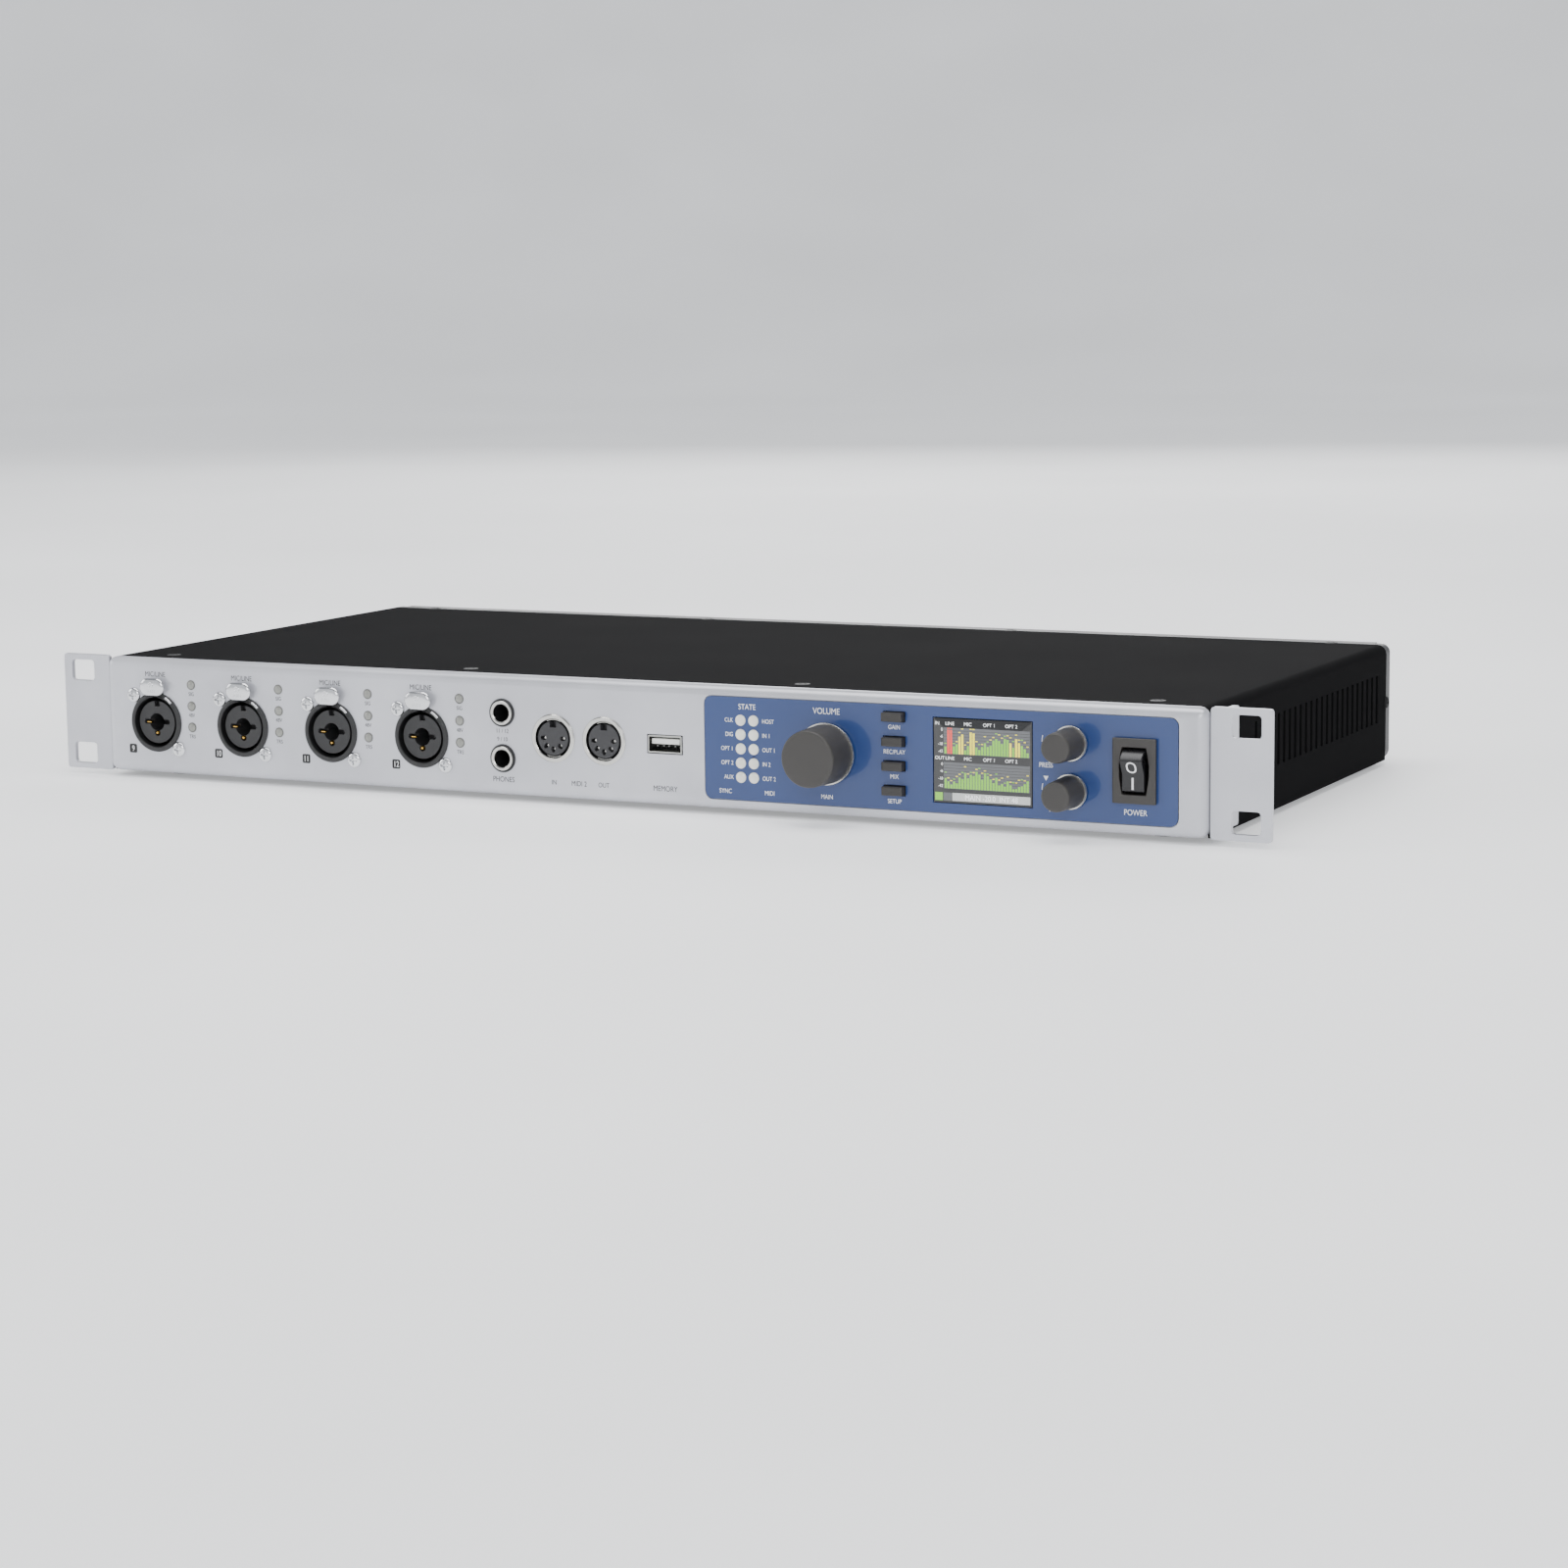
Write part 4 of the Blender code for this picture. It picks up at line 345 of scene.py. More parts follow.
def screw(spot, side, material, radius=2.85, rise=1.3, seat=0.0):
    """A pan-head screw: a flattened dome, sunk along two crossed bars that narrow to their ends."""
    def height(across, up):
        reach = np.hypot(across, up) / radius
        dome = seat + rise * (0.08 + 0.92 * np.sqrt(np.maximum(1 - reach ** 4, 0)))
        bar = 0.42 - 0.09 * np.hypot(across, up)
        length = 0.56 * radius
        cross = np.maximum(step(bar - abs(across), 0.18) * step(length - abs(up), 0.25),
                           step(bar - abs(up), 0.18) * step(length - abs(across), 0.25))
        return dome - 0.75 * rise * cross
    return relief(radius, height, [(radius, seat), (0, seat)], spot, side, material, 34, 72)


def relieved(part, latch, spot, side):
    """A collar with its edge sunk wherever it lies under the latch's tab, to let the tab go in."""
    points, faces, material = part
    local = (points - spot) / MM @ side.T
    low = (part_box(latch)[1].z - spot[2]) / MM - 7.1
    under = (local[:, 1] > low) & (abs(local[:, 0]) < 5.9)
    local[under, 2] = np.minimum(local[under, 2], 0.2)
    return place(local, spot, side), faces, material


def insert_height(across, up):
    """The insert's flat face, sunk at its bore, side notches, key and one pin hole below the bore."""
    bore = disc(across, up, 0, 0, 3.2)
    notches = panel(across, up, 0, 0.1, 4.9, 0.75)
    key = panel(across, up, 0.2, 7.0, 0.95, 0.9)
    holes = disc(across, up, 0.0, -4.15, 1.05)
    ends = disc(across, up, -4.9, 0.1, 0.75) + disc(across, up, 4.9, 0.1, 0.75)
    sunk = np.maximum.reduce([bore * 9.0, notches * 3.0, key * 2.0, holes * 4.0,
                              np.clip(ends, 0, 1) * 3.0])
    return -0.3 - sunk


for number in range(1, 5):
    node = f"combo_socket_{number}"
    spot = spot_of(f"combo_latch_{number}", FRONT)
    spot[2] = middle - 2.2 * MM
    collar = [(0, -26.5), (11.6, -26.5), (11.6, -2.6), (10.7, -2.6), (10.7, 0.02), (11.25, 0.02),
              (11.3, 0.3), (10.9, 0.85), (10.55, 1.05), (9.75, 1.05), (9.45, 0.75), (9.35, 0.1),
              (9.35, -11.5), (0, -11.5)]
    ring = relieved(layers(collar, spot, FRONT, nylon, 144), f"combo_latch_{number}", spot, FRONT)
    make_piece(f"combo_{number}_collar", [ring], "housing", [node])
    rim = [(8.0, -0.35), (8.05, -1.0), (8.05, -11.4), (0, -11.4)]
    make_piece(f"combo_{number}_insert",
               [relief(8.0, insert_height, rim, spot, FRONT, insert_nylon, 64, 144)],
               "housing")
    ball = [(0, -4.4), (0.75, -4.2), (0.78, -1.2), (0.66, -0.5), (0.36, -0.05), (0, 0.08)]
    strip = block((-4.9, -0.35, -3.0), (-3.1, -0.05, -0.9), spot, FRONT, gold)
    contact = layers(ball, place((0, -4.1, 0), spot, FRONT), FRONT, gold, 32)
    make_piece(f"combo_{number}_contacts", [contact, strip], "housing")
    screws = [screw(place((shift, -shift, 0), spot, FRONT), FRONT, chrome)
              for shift in (-9.9, 9.9)]
    make_piece(f"combo_{number}_screws", screws, "housing", sharp=50)
    bow = np.radians(np.linspace(62, 44, 14))
    spring = np.stack([10.6 * np.cos(bow), 10.6 * np.sin(bow), 1.25 + 0.25 * np.sin(4 * bow)], -1)
    make_piece(f"combo_{number}_spring",
               [tube(spring, 0.42, spot, FRONT, chrome, square_to=(0, 0, 1))],
               "housing")


# ==== Latches =============================================================================
# The release tabs of the latched sockets are pressed steel with mirror chrome: an oval with
# a rolled edge and an embossed word, on a flat neck that goes into the socket.

def words(text, shift, cap, spot, side, material, stretch=0.92, align="CENTER", rise=0.0,
          thick=0.03):
    """Lettering as a solid layer: the font's outline at a capital height, centred on its line."""
    curve = bpy.data.curves.new(text, "FONT")
    curve.body = text
    curve.align_x = align
    curve.extrude = 0.5
    letters = bpy.data.objects.new(text, curve)
    bpy.context.scene.collection.objects.link(letters)
    drawn = letters.evaluated_get(bpy.context.evaluated_depsgraph_get())
    mesh = bpy.data.meshes.new_from_object(drawn)
    points = np.empty(len(mesh.vertices) * 3)
    mesh.vertices.foreach_get("co", points)
    points = points.reshape(-1, 3)
    faces = [list(face.vertices) for face in mesh.polygons]
    bpy.data.objects.remove(letters)
    size = cap / 0.69
    points = np.stack([shift[0] + points[:, 0] * size * stretch,
                       shift[1] + points[:, 1] * size - cap / 2,
                       rise + (points[:, 2] + 0.5) * thick], axis=-1)
    return place(points, spot, side), faces, material


def oval_tab(name, spot, side, body, replaced):
    """The oval plate as stacked outlines that bulge and close, its neck and its raised ring."""
    oval = [(0, 0, 0, 1.85), (4.7, 2.6, 2.6, 1.85), (5.2, 3.1, 3.1, 2.0), (5.4, 3.3, 3.3, 2.5),
            (5.2, 3.1, 3.1, 2.95), (4.6, 2.5, 2.5, 3.2), (3.6, 1.6, 1.6, 3.3), (0, 0, 0, 3.35)]
    neck = [(0, 0, 0, 2.4), (2.9, 0.7, 0.3, 2.4), (2.9, 0.7, 0.3, -6.8), (0, 0, 0, -6.8)]
    ring = [(1.1, 3.3), (1.1, 3.5), (0.75, 3.5), (0.75, 3.3), (1.1, 3.3)]
    parts = [layers(oval, spot, side, chrome, 72),
             layers(neck, place((0, -1.1, 0), spot, side), side, chrome, 16),
             layers(ring, place((0, 0.9, 0), spot, side), side, chrome, 32),
             words("PUSH", (0, -1.4), 1.1, spot, side, chrome, rise=3.2, thick=0.2)]
    return make_piece(name, parts, body, [replaced], sharp=45)


for number in range(1, 5):
    spot = spot_of(f"combo_latch_{number}", FRONT)
    spot[2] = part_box(f"combo_latch_{number}")[1].z - 3.3 * MM
    oval_tab(f"combo_{number}_tab", spot, FRONT, f"combo_latch_{number}_body",
             f"combo_latch_{number}")


# ==== Channel lamps and panel print ========================================================
# Three lamps with clouded lenses stand beside each combination socket. The names are screen
# printed in dark grey, and each channel's number stands in white on a black square.

dark_ink = finish("dark_grey_screen_ink", "#2b2b2d", 0.55, 0.3, 0.002)
black_ink = finish("black_screen_ink", "#141415", 0.5, 0.3, 0.002)
white_ink = finish("white_screen_ink", "#eeeef0", 0.5, 0.3, 0.002)
lamp_lens = finish("clouded_grey_acrylic", "#84857f", 0.25, 0.5, 0.003, Coat_Weight=0.6,
                   Coat_Roughness=0.08)
# Each lens sits in a darker grey ring, which is painted shade standing for the shade at the lens's
# edge.
lens_edge_shade_ring = finish("grey_ring_painted_as_lens_edge_shade", "#5c5d59", 0.35, 0.5, 0.003)
dome = [(0, -0.3), (1.55, -0.3), (1.55, 0.1), (1.4, 0.3), (1.0, 0.52), (0.5, 0.64), (0, 0.67)]
# rim is the profile of that ring of painted shade round each lens.
rim = [(1.45, -0.3), (1.85, -0.3), (1.85, 0.08), (1.7, 0.22), (1.5, 0.22), (1.45, -0.3)]
names, lamps = [], []
for number in range(1, 5):
    spot = spot_of(f"combo_latch_{number}", FRONT)
    spot[2] = middle
    names.append(words("MIC/LINE", (0, 16.0), 1.85, spot, FRONT, dark_ink, 0.86))
    for height, text in ((12.5, "SIG"), (4.5, "48V"), (-3.5, "TRS")):
        lamps += [layers(dome, place((16.2, height, 0), spot, FRONT), FRONT, lamp_lens, 40),
                  layers(rim, place((16.2, height, 0), spot, FRONT), FRONT, lens_edge_shade_ring, 40)]
        names.append(words(text, (16.2, height - 3.4), 1.4, spot, FRONT, dark_ink, 0.86))
    square = [(0, 0, 0, 0), (1.7, 1.7, 0.6, 0), (1.7, 1.7, 0.6, 0.03), (0, 0, 0, 0.03)]
    names.append(layers(square, place((-11.2, -12.7, 0), spot, FRONT), FRONT, black_ink, 32))
    names.append(words(str(number + 8), (-11.2, -12.7), 2.1, spot, FRONT, white_ink, 0.8,
                       rise=0.03))
make_piece("channel_lamps", lamps, "housing")
panel_spot = np.array([0.0, panel_face, middle])
for text, shift, cap in (("11 / 12", (-46.1, 1.7), 1.5), ("9 / 10", (-46.1, -1.3), 1.5),
                         ("PHONES", (-45.9, -15.8), 1.9), ("IN", (-25.1, -15.8), 1.7),
                         ("MIDI 2", (-14.9, -15.8), 1.8), ("OUT", (-4.9, -15.8), 1.7),
                         ("MEMORY", (19.8, -15.7), 1.9)):
    names.append(words(text, shift, cap, panel_spot, FRONT, dark_ink, 0.86))
make_piece("panel_print", names, "housing")


# ==== Headphone jacks =====================================================================
# Two quarter-inch jacks on one moulded body. Each has a bright nickel-plated ferrule in a
# black collar.

nickel = finish("nickel_plated_brass", "#c9c8c4", 0.24, 0.5, 0.002, Metallic=1.0)


def jack(spot, side, collar_radius, ferrule):
    """A turned black collar and body, and a turned bright ferrule in it, both bored through."""
    outer = [(0, -19.6), (6.0, -19.6), (6.0, -2.6), (collar_radius - 0.2, -2.6),
             (collar_radius - 0.2, 0.02), (collar_radius + 0.3, 0.02), (collar_radius + 0.3, 0.4),
             (collar_radius, 0.85), (ferrule + 0.05, 0.9), (ferrule + 0.05, 0.2), (3.3, 0.2),
             (3.2, -1.0), (3.2, -18.5), (0, -18.5)]
    bright = [(ferrule, 0.1), (ferrule, 0.95), (ferrule - 0.2, 1.15), (3.6, 1.15), (3.25, 0.9),
              (3.2, 0.1), (ferrule, 0.1)]
    tip = np.array([[3.1, 0.6, -4.0], [2.6, 0.5, -6.0], [2.2, 0.4, -8.0], [2.9, 0.3, -11.0]])
    return [layers(outer, spot, side, nylon, 64), layers(bright, spot, side, nickel, 64),
            tube(tip, 0.35, spot, side, nickel)]


phones = spot_of("headphone_jacks", FRONT)
back = [(0, 0, 0, -19.5), (7.0, 15.2, 0.5, -19.5), (7.0, 15.2, 0.5, -20.8), (0, 0, 0, -20.8)]
parts = [layers(back, phones, FRONT, nylon, 16)]
for height in (-8.25, 8.25):
    parts += jack(place((0, height, 0), phones, FRONT), FRONT, 4.8, 4.35)
make_piece("headphone_jacks_fitted", parts, "housing", ["headphone_jacks"])


# ==== Five-pole sockets ===================================================================
# Four round sockets: a rim, a gap for the plug's shell with a spring at its top and bottom,
# and a disc with five contacts in an arc and a key notch. Those in front have bright rims.

disc_nylon = finish("dark_grey_nylon_moulded", "#303032", 0.45, 0.4, 0.01)


def disc_height(across, up):
    """Five keyhole contacts on a half circle below the middle, and a notch at the top."""
    sunk = panel(across, up, 0, 5.3, 1.15, 1.3) * 2.5
    for bearing in np.radians((180, 225, 270, 315, 360)):
        x, z = 3.75 * np.cos(bearing), 3.75 * np.sin(bearing)
        hole = disc(across, up, x, z, 0.72)
        throat = disc(across, up, x * 1.22, z * 1.22, 0.42)
        sunk = np.maximum(sunk, np.maximum(hole, throat) * 3.0)
    return 0.15 - sunk


def five_pole(name, node, side, radius, rim_metal):
    """A turned rim and body, two springs in the gap, and the disc as a sunken height."""
    spot = spot_of(node, side)
    shape = [(0, -14.8), (7.9, -14.8), (7.9, -2.6), (radius - 0.2, -2.6), (radius - 0.2, 0.02),
             (radius + 0.35, 0.02), (radius + 0.4, 0.25), (radius, 0.6), (7.35, 0.6), (7.1, 0.4),
             (7.05, 0.0), (7.05, -0.2), (radius - 0.4, -0.2), (radius - 0.4, 0.0)]
    bright = shape[4:12] + [shape[4]]
    sleeve = [(0, -14.7), (7.9, -14.7), (7.9, -1.6), (7.0, -1.6), (7.0, -6.3), (0, -6.3)]
    face = relief(6.1, disc_height, [(6.15, 0.0), (6.15, -6.2), (0, -6.2)], spot, side,
                  disc_nylon, 48, 144)
    parts = [layers(bright, spot, side, rim_metal, 80), layers(sleeve, spot, side, nylon, 80),
             face]
    for sign in (-1, 1):
        bow = np.radians(np.linspace(-24, 24, 12))
        spring = np.stack([6.7 * np.sin(bow), sign * 6.7 * np.cos(bow), 0 * bow - 0.5], -1)
        parts.append(tube(spring, 0.22, spot, side, nickel, square_to=(0, 0, 1)))
    for bearing in np.radians((180, 225, 270, 315, 360)):
        hole = place((3.75 * np.cos(bearing), 3.75 * np.sin(bearing), 0), spot, side)
        parts.append(layers([(0, -2.9), (0.42, -2.9), (0.42, -1.1), (0, -1.1)], hole, side,
                            nickel, 12))
    make_piece(name, parts, "housing", [node])


for number in (1, 2):
    five_pole(f"front_midi_{number}_fitted", f"front_midi_socket_{number}", FRONT, 8.3, nickel)


# ==== Memory port =========================================================================
# An upright data port of folded, tin-plated steel with a white tongue and four contact springs.

tin_plate = finish("tin_plated_steel", "#a9aaa6", 0.3, 0.5, 0.002, Metallic=1.0)
white_nylon = finish("white_nylon_moulded", "#e9e9e4", 0.4, 0.4, 0.005)


def port_shell(half_x, half_z, wall, depth, spot, side, metal, corner=0.4):
    """A folded shell: an outline carried out to the mouth, over its edge and in to the floor."""
    inner_x, inner_z = half_x - wall, half_z - wall
    levels = [(0, 0, 0, -13.8), (half_x, half_z, corner, -13.8), (half_x, half_z, corner, 0.1),
              (half_x - 0.12, half_z - 0.12, corner, 0.25), (inner_x + 0.1, inner_z + 0.1, 0.3, 0.25),
              (inner_x, inner_z, 0.25, 0.12), (inner_x, inner_z, 0.25, -depth), (0, 0, 0, -depth)]
    return layers(levels, spot, side, metal, 48)


spot = spot_of("memory_port", FRONT)
parts = [port_shell(6.8, 3.15, 0.6, 8.8, spot, FRONT, tin_plate),
         block((-6.15, -2.5, -8.7), (6.15, 2.5, -8.2), spot, FRONT, nylon),
         layers([(0, 0, 0, -8.6), (5.5, 0.95, 0.2, -8.6), (5.5, 0.95, 0.2, -0.75),
                 (5.35, 0.8, 0.2, -0.6), (0, 0, 0, -0.6)],
                place((0, 0.95, 0), spot, FRONT), FRONT, white_nylon, 32)]
for across in (-3.5, -1.0, 1.0, 3.5):
    blade = [(across, -0.35, -8.0), (across, -1.2, -4.5), (across, -1.5, -3.0),
             (across, -0.7, -1.2)]
    parts.append(tube(blade, 0.3, spot, FRONT, tin_plate, square_to=(1, 0, 0), count=8))
make_piece("memory_port_fitted", parts, "housing", ["memory_port"])


# ==== State lamps and overlay print =======================================================
# Ten milky light guides stand in two columns. All the names on the overlay are white.

milky_lens = finish("milky_polycarbonate", "#e6e6dd", 0.2, 0.5, 0.003, Coat_Weight=0.8,
                    Coat_Roughness=0.05, Subsurface_Weight=0.15, Subsurface_Scale=0.001)
overlay_spot = np.array([0.0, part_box("control_overlay")[0].y, middle])
guide = [(0, -0.5), (1.7, -0.5), (1.95, 0.0), (1.9, 0.18), (1.55, 0.45), (1.0, 0.68), (0.5, 0.78),
         (0, 0.8)]
lamps = [layers(guide, place((across, height, 0), overlay_spot, FRONT), FRONT, milky_lens, 40)
         for across in (49.8, 54.8) for height in (-10, -5, 0, 5, 10)]
make_piece("state_lamps", lamps, "housing")
names = [words(text, (46.9, 10 - 5 * row), 1.45, overlay_spot, FRONT, white_ink, 0.84, "RIGHT")
         for row, text in enumerate(("CLK", "DIG", "OPT 1", "OPT 2", "AUX"))]
names += [words(text, (58.1, 10 - 5 * row), 1.45, overlay_spot, FRONT, white_ink, 0.84, "LEFT")
          for row, text in enumerate(("HOST", "IN 1", "OUT 1", "IN 2", "OUT 2"))]
names += [words(text, (108.25, height), 1.5, overlay_spot, FRONT, white_ink, 0.86)
          for text, height in (("GAIN", 10.4), ("REC/PLAY", 1.9), ("MIX", -6.6), ("SETUP", -15.1))]
for text, shift, cap in (("STATE", (52.4, 14.8), 1.9), ("SYNC", (43.7, -15.0), 1.55),
                         ("MIDI", (60.8, -15.0), 1.55), ("VOLUME", (82.8, 14.7), 2.1),
                         ("MAIN", (82.8, -15.0), 1.5), ("PRESS", (163.7, 0.3), 1.6),
                         ("POWER", (195.45, -14.0), 1.9)):
    names.append(words(text, shift, cap, overlay_spot, FRONT, white_ink, 0.86))
arrow = place([(162.8, -3.4, 0), (164.6, -3.4, 0), (163.7, -5.0, 0), (162.8, -3.4, 0.03),
               (164.6, -3.4, 0.03), (163.7, -5.0, 0.03)], overlay_spot, FRONT)
names.append((arrow, [[0, 1, 2], [5, 4, 3], [0, 3, 4, 1], [1, 4, 5, 2], [2, 5, 3, 0]], white_ink))
for node in ("upper_encoder_knob", "lower_encoder_knob"):
    spot = spot_of(node, FRONT)
    spot[1] = overlay_spot[1]
    for start, end in ((168, 180), (212, 224)):
        turn = np.radians(np.linspace(start, end, 8))
        sweep = np.stack([10.4 * np.cos(turn), 10.4 * np.sin(turn), 0 * turn - 0.02], axis=-1)
        names.append(tube(sweep, 0.14, spot, FRONT, white_ink, square_to=(0, 0, 1), count=8))
make_piece("overlay_print", names, "housing")


# ==== Knobs ===============================================================================
# Push encoders: a turned knob with a soft-touch coat over a bright base ring. The flat face
# takes the light, and the sides stay nearly black.

soft_touch = finish("soft_touch_lacquer_on_aluminium", "#363432", 0.52, 0.25, 0.004, spread=0.04)
zinc_plate = finish("zinc_plated_steel", "#b9bbbd", 0.3, 0.5, 0.003, Metallic=1.0)
for name, radius, rise in (("volume", 10.3, 16.2), ("upper_encoder", 5.5, 15.2),
                           ("lower_encoder", 5.5, 15.2)):
    spot = spot_of(f"{name}_knob", FRONT)
    face = radius - 0.4
    side = [(0, -2.0), (radius * 0.28, -2.0), (radius * 0.28, 1.4), (radius - 0.5, 1.4),
            (radius, 1.5), (radius, 2.2), (radius - 0.1, 6.0), (face, rise - 1.2),
            (face - 0.08, rise - 0.7), (face - 0.3, rise - 0.3), (face - 0.65, rise - 0.06),
            (face - 1.0, rise), (face * 0.5, rise - 0.02), (0, rise - 0.03)]
    base = [(0, 1.1), (radius * 0.6, 1.1), (radius + 0.45, 1.1), (radius + 0.6, 1.3),
            (radius + 0.6, 1.7), (radius + 0.45, 1.95), (radius - 0.2, 1.95), (0, 1.95)]
    parts = [layers(side, spot, FRONT, soft_touch, 128), layers(base, spot, FRONT, nickel, 128)]
    make_piece(f"{name}_knob_turned", parts, f"{name}_knob_body", [f"{name}_knob"])
    fair_copy(f"{name}_stem", zinc_plate, edge=0.1)


# ==== Menu keys ===========================================================================
# Four moulded keys with softened edges and a slightly hollow face.

key_plastic = finish("brown_black_abs_moulded", "#2f2d2b", 0.5, 0.3, 0.006)
for number in range(1, 5):
    node = f"menu_button_{number}"
    key = [(0, 0, 0, -2.6), (3.85, 1.55, 0.25, -2.6), (3.85, 1.55, 0.3, 2.45),
           (3.78, 1.48, 0.3, 2.75), (3.55, 1.25, 0.3, 2.95), (3.2, 1.0, 0.3, 3.0),
           (1.5, 0.4, 0.2, 2.9), (0, 0, 0, 2.88)]
    make_piece(f"menu_key_{number}", [layers(key, spot_of(node, FRONT), FRONT, key_plastic, 48)],
               f"{node}_body", [node])


# ==== Display =============================================================================
# A colour screen behind clear glass, lit from behind. It shows two rows of level meters with
# their scales, and a status line.

def lit(name, code, glow=0.55):
    """A glossy patch of the screen that gives off its own colour."""
    return finish(name, code, 0.2, 0.4, 0.0005, spread=0.03, Coat_Weight=0.7, Coat_Roughness=0.04,
                  Emission_Color=linear(code), Emission_Strength=glow)


screen = lit("lit_screen_black", "#101113", 0.1)
ground = lit("lit_screen_grey", "#55575a", 0.25)
strip = lit("lit_screen_pale_grey", "#b4b6b4", 0.4)
text_white = lit("lit_screen_white", "#f4f6f6")
meter = {"green": lit("lit_screen_green", "#74b82c"), "yellow": lit("lit_screen_yellow", "#f0e028"),
         "red": lit("lit_screen_red", "#e33a2a")}
spot = spot_of("display_module", FRONT)
frame_levels = [(0, 0, 0, -4.0), (17.9, 14.35, 0.3, -4.0), (17.9, 14.35, 0.3, 0.1),
                (17.75, 14.2, 0.3, 0.2), (0, 0, 0, 0.2)]
parts = [layers(frame_levels, spot, FRONT, screen, 16)]


def patch(x0, x1, z0, z1, rise, material):
    """A thin flat patch of the screen."""
    parts.append(block((x0, z0, 0.18), (x1, z1, 0.2 + rise), spot, FRONT, material))


columns = 30
pitch = 1.03
for base, header, seed in ((2.2, "IN", 3), (-9.6, "OUT", 5)):
    chance = np.random.default_rng(seed)
    patch(-14.2, 17.2, base, base + 9.0, 0.01, ground)
    for line in range(1, 9):
        patch(-14.2, 17.2, base + line - 0.06, base + line + 0.06, 0.02, screen)
    for column in range(columns):
        left = -13.9 + column * pitch
        level = 2.2 + 3.4 * chance.random() ** 1.5 + 1.2 * np.sin(column / 4 + seed)
        tint = "green"
        if seed == 3 and column in (1, 2):
            level, tint = 8.2, "red"
        elif seed == 3 and column in (5, 6, 9, 10, 23, 25, 26):
            level, tint = 4.2 + 3.6 * chance.random(), "yellow"
        patch(left, left + 0.78, base + 0.1, base + level, 0.03, meter[tint])
        peak = min(level + 0.6 + 1.6 * chance.random(), 8.6)
        patch(left, left + 0.78, base + peak, base + peak + 0.3, 0.03,
              meter["yellow" if tint != "red" and column % 3 else tint])
    for height, text in ((8.3, "0"), (6.0, "-6"), (3.4, "-18"), (0.9, "-42")):
        parts.append(words(text, (-14.5, base + height), 1.0, spot, FRONT, text_white, 0.9,
                           "RIGHT", rise=0.2))
    for across, text in ((-17.4, header), (-13.6, "LINE"), (-6.8, "MIC"), (0.2, "OPT 1"),
                         (8.2, "OPT 2")):
        parts.append(words(text, (across, base + 10.4), 1.15, spot, FRONT, text_white, 1.0,
                           "LEFT", rise=0.2))
patch(-17.4, -14.6, -13.7, -11.0, 0.01, meter["green"])
patch(-14.3, -11.4, -13.7, -11.0, 0.01, ground)
patch(-11.1, 17.3, -13.7, -11.0, 0.01, strip)
parts.append(words("MAIN -20.0  INT 48", (3.2, -12.35), 1.7, spot, FRONT, text_white, 0.95,
                   rise=0.21))
make_piece("display_screen", parts, "housing", ["display_module"])


# ==== Power switch ========================================================================
# A moulded bezel with a rocker that tilts in its well. The ring and the bar are printed white
# on the rocker's two faces.

bezel_plastic = finish("black_brown_abs_moulded", "#343230", 0.42, 0.35, 0.008)
rocker_plastic = finish("black_abs_polished", "#18181a", 0.3, 0.35, 0.003)
fair_copy("power_switch_housing", bezel_plastic, edge=0.35)
fair_copy("power_rocker", rocker_plastic, edge=0.3)


def swing(part, angle, spot):
    """Turns a part about the line along X through a spot, so that its top comes forwards."""
    points, faces, material = part
    cos, sin = math.cos(math.radians(angle)), math.sin(math.radians(angle))
    turn = np.array([[1, 0, 0], [0, cos, -sin], [0, sin, cos]])
    return (points - spot) @ turn.T + spot, faces, material


switch = spot_of("power_switch_housing", FRONT)
upper_middle = place((0, 1.55, 4.26), switch, FRONT)
lower_middle = place((0, -4.0, 2.83), switch, FRONT)
ring = [(1.75, 2.2, 1.75, 0.0), (1.75, 2.2, 1.75, 0.05), (1.2, 1.65, 1.2, 0.05),
        (1.2, 1.65, 1.2, 0.0), (1.75, 2.2, 1.75, 0.0)]
marks = [swing(layers(ring, upper_middle, FRONT, white_ink, 48), 28.5, upper_middle),
         swing(block((-0.35, -2.0, 0.0), (0.35, 2.0, 0.05), lower_middle, FRONT, white_ink), 0.9,
               lower_middle)]
make_piece("power_rocker_marks", marks, "power_rocker_body")


# ==== Mains inlet and cord hook ===========================================================
# A moulded inlet with three bright blades in its well. A bent steel wire turns in a hexagon
# nut beside it, and would hold the plug of a mains cord.

inlet_plastic = finish("black_polyamide_moulded", "#1c1c1d", 0.4, 0.4, 0.01)
hook_steel = finish("steel_wire_drawn", "#8f8f90", 0.34, 0.4, 0.004, Metallic=1.0)
rear_centre = np.array([0.0, rear_face, middle])
fair_copy("mains_inlet", inlet_plastic, edge=0.3)
spot = spot_of("mains_inlet", REAR)
blades = []
for across, up in ((-7, -3), (0, 3), (7, -3)):
    tip = [(0, 0, 0, -15.9), (1.15, 2.15, 0.3, -15.9), (1.15, 2.15, 0.3, -3.1),
           (0.75, 1.75, 0.3, -2.75), (0, 0, 0, -2.75)]
    blades.append(layers(tip, place((across, up, 0), spot, REAR), REAR, nickel, 24))
make_piece("mains_inlet_blades", blades, "housing")
fair_copy("cable_retainer", hook_steel, sharp=32)
for number in (1, 2):
    five_pole(f"rear_midi_{number}_fitted", f"rear_midi_socket_{number}", REAR, 7.85, nylon)
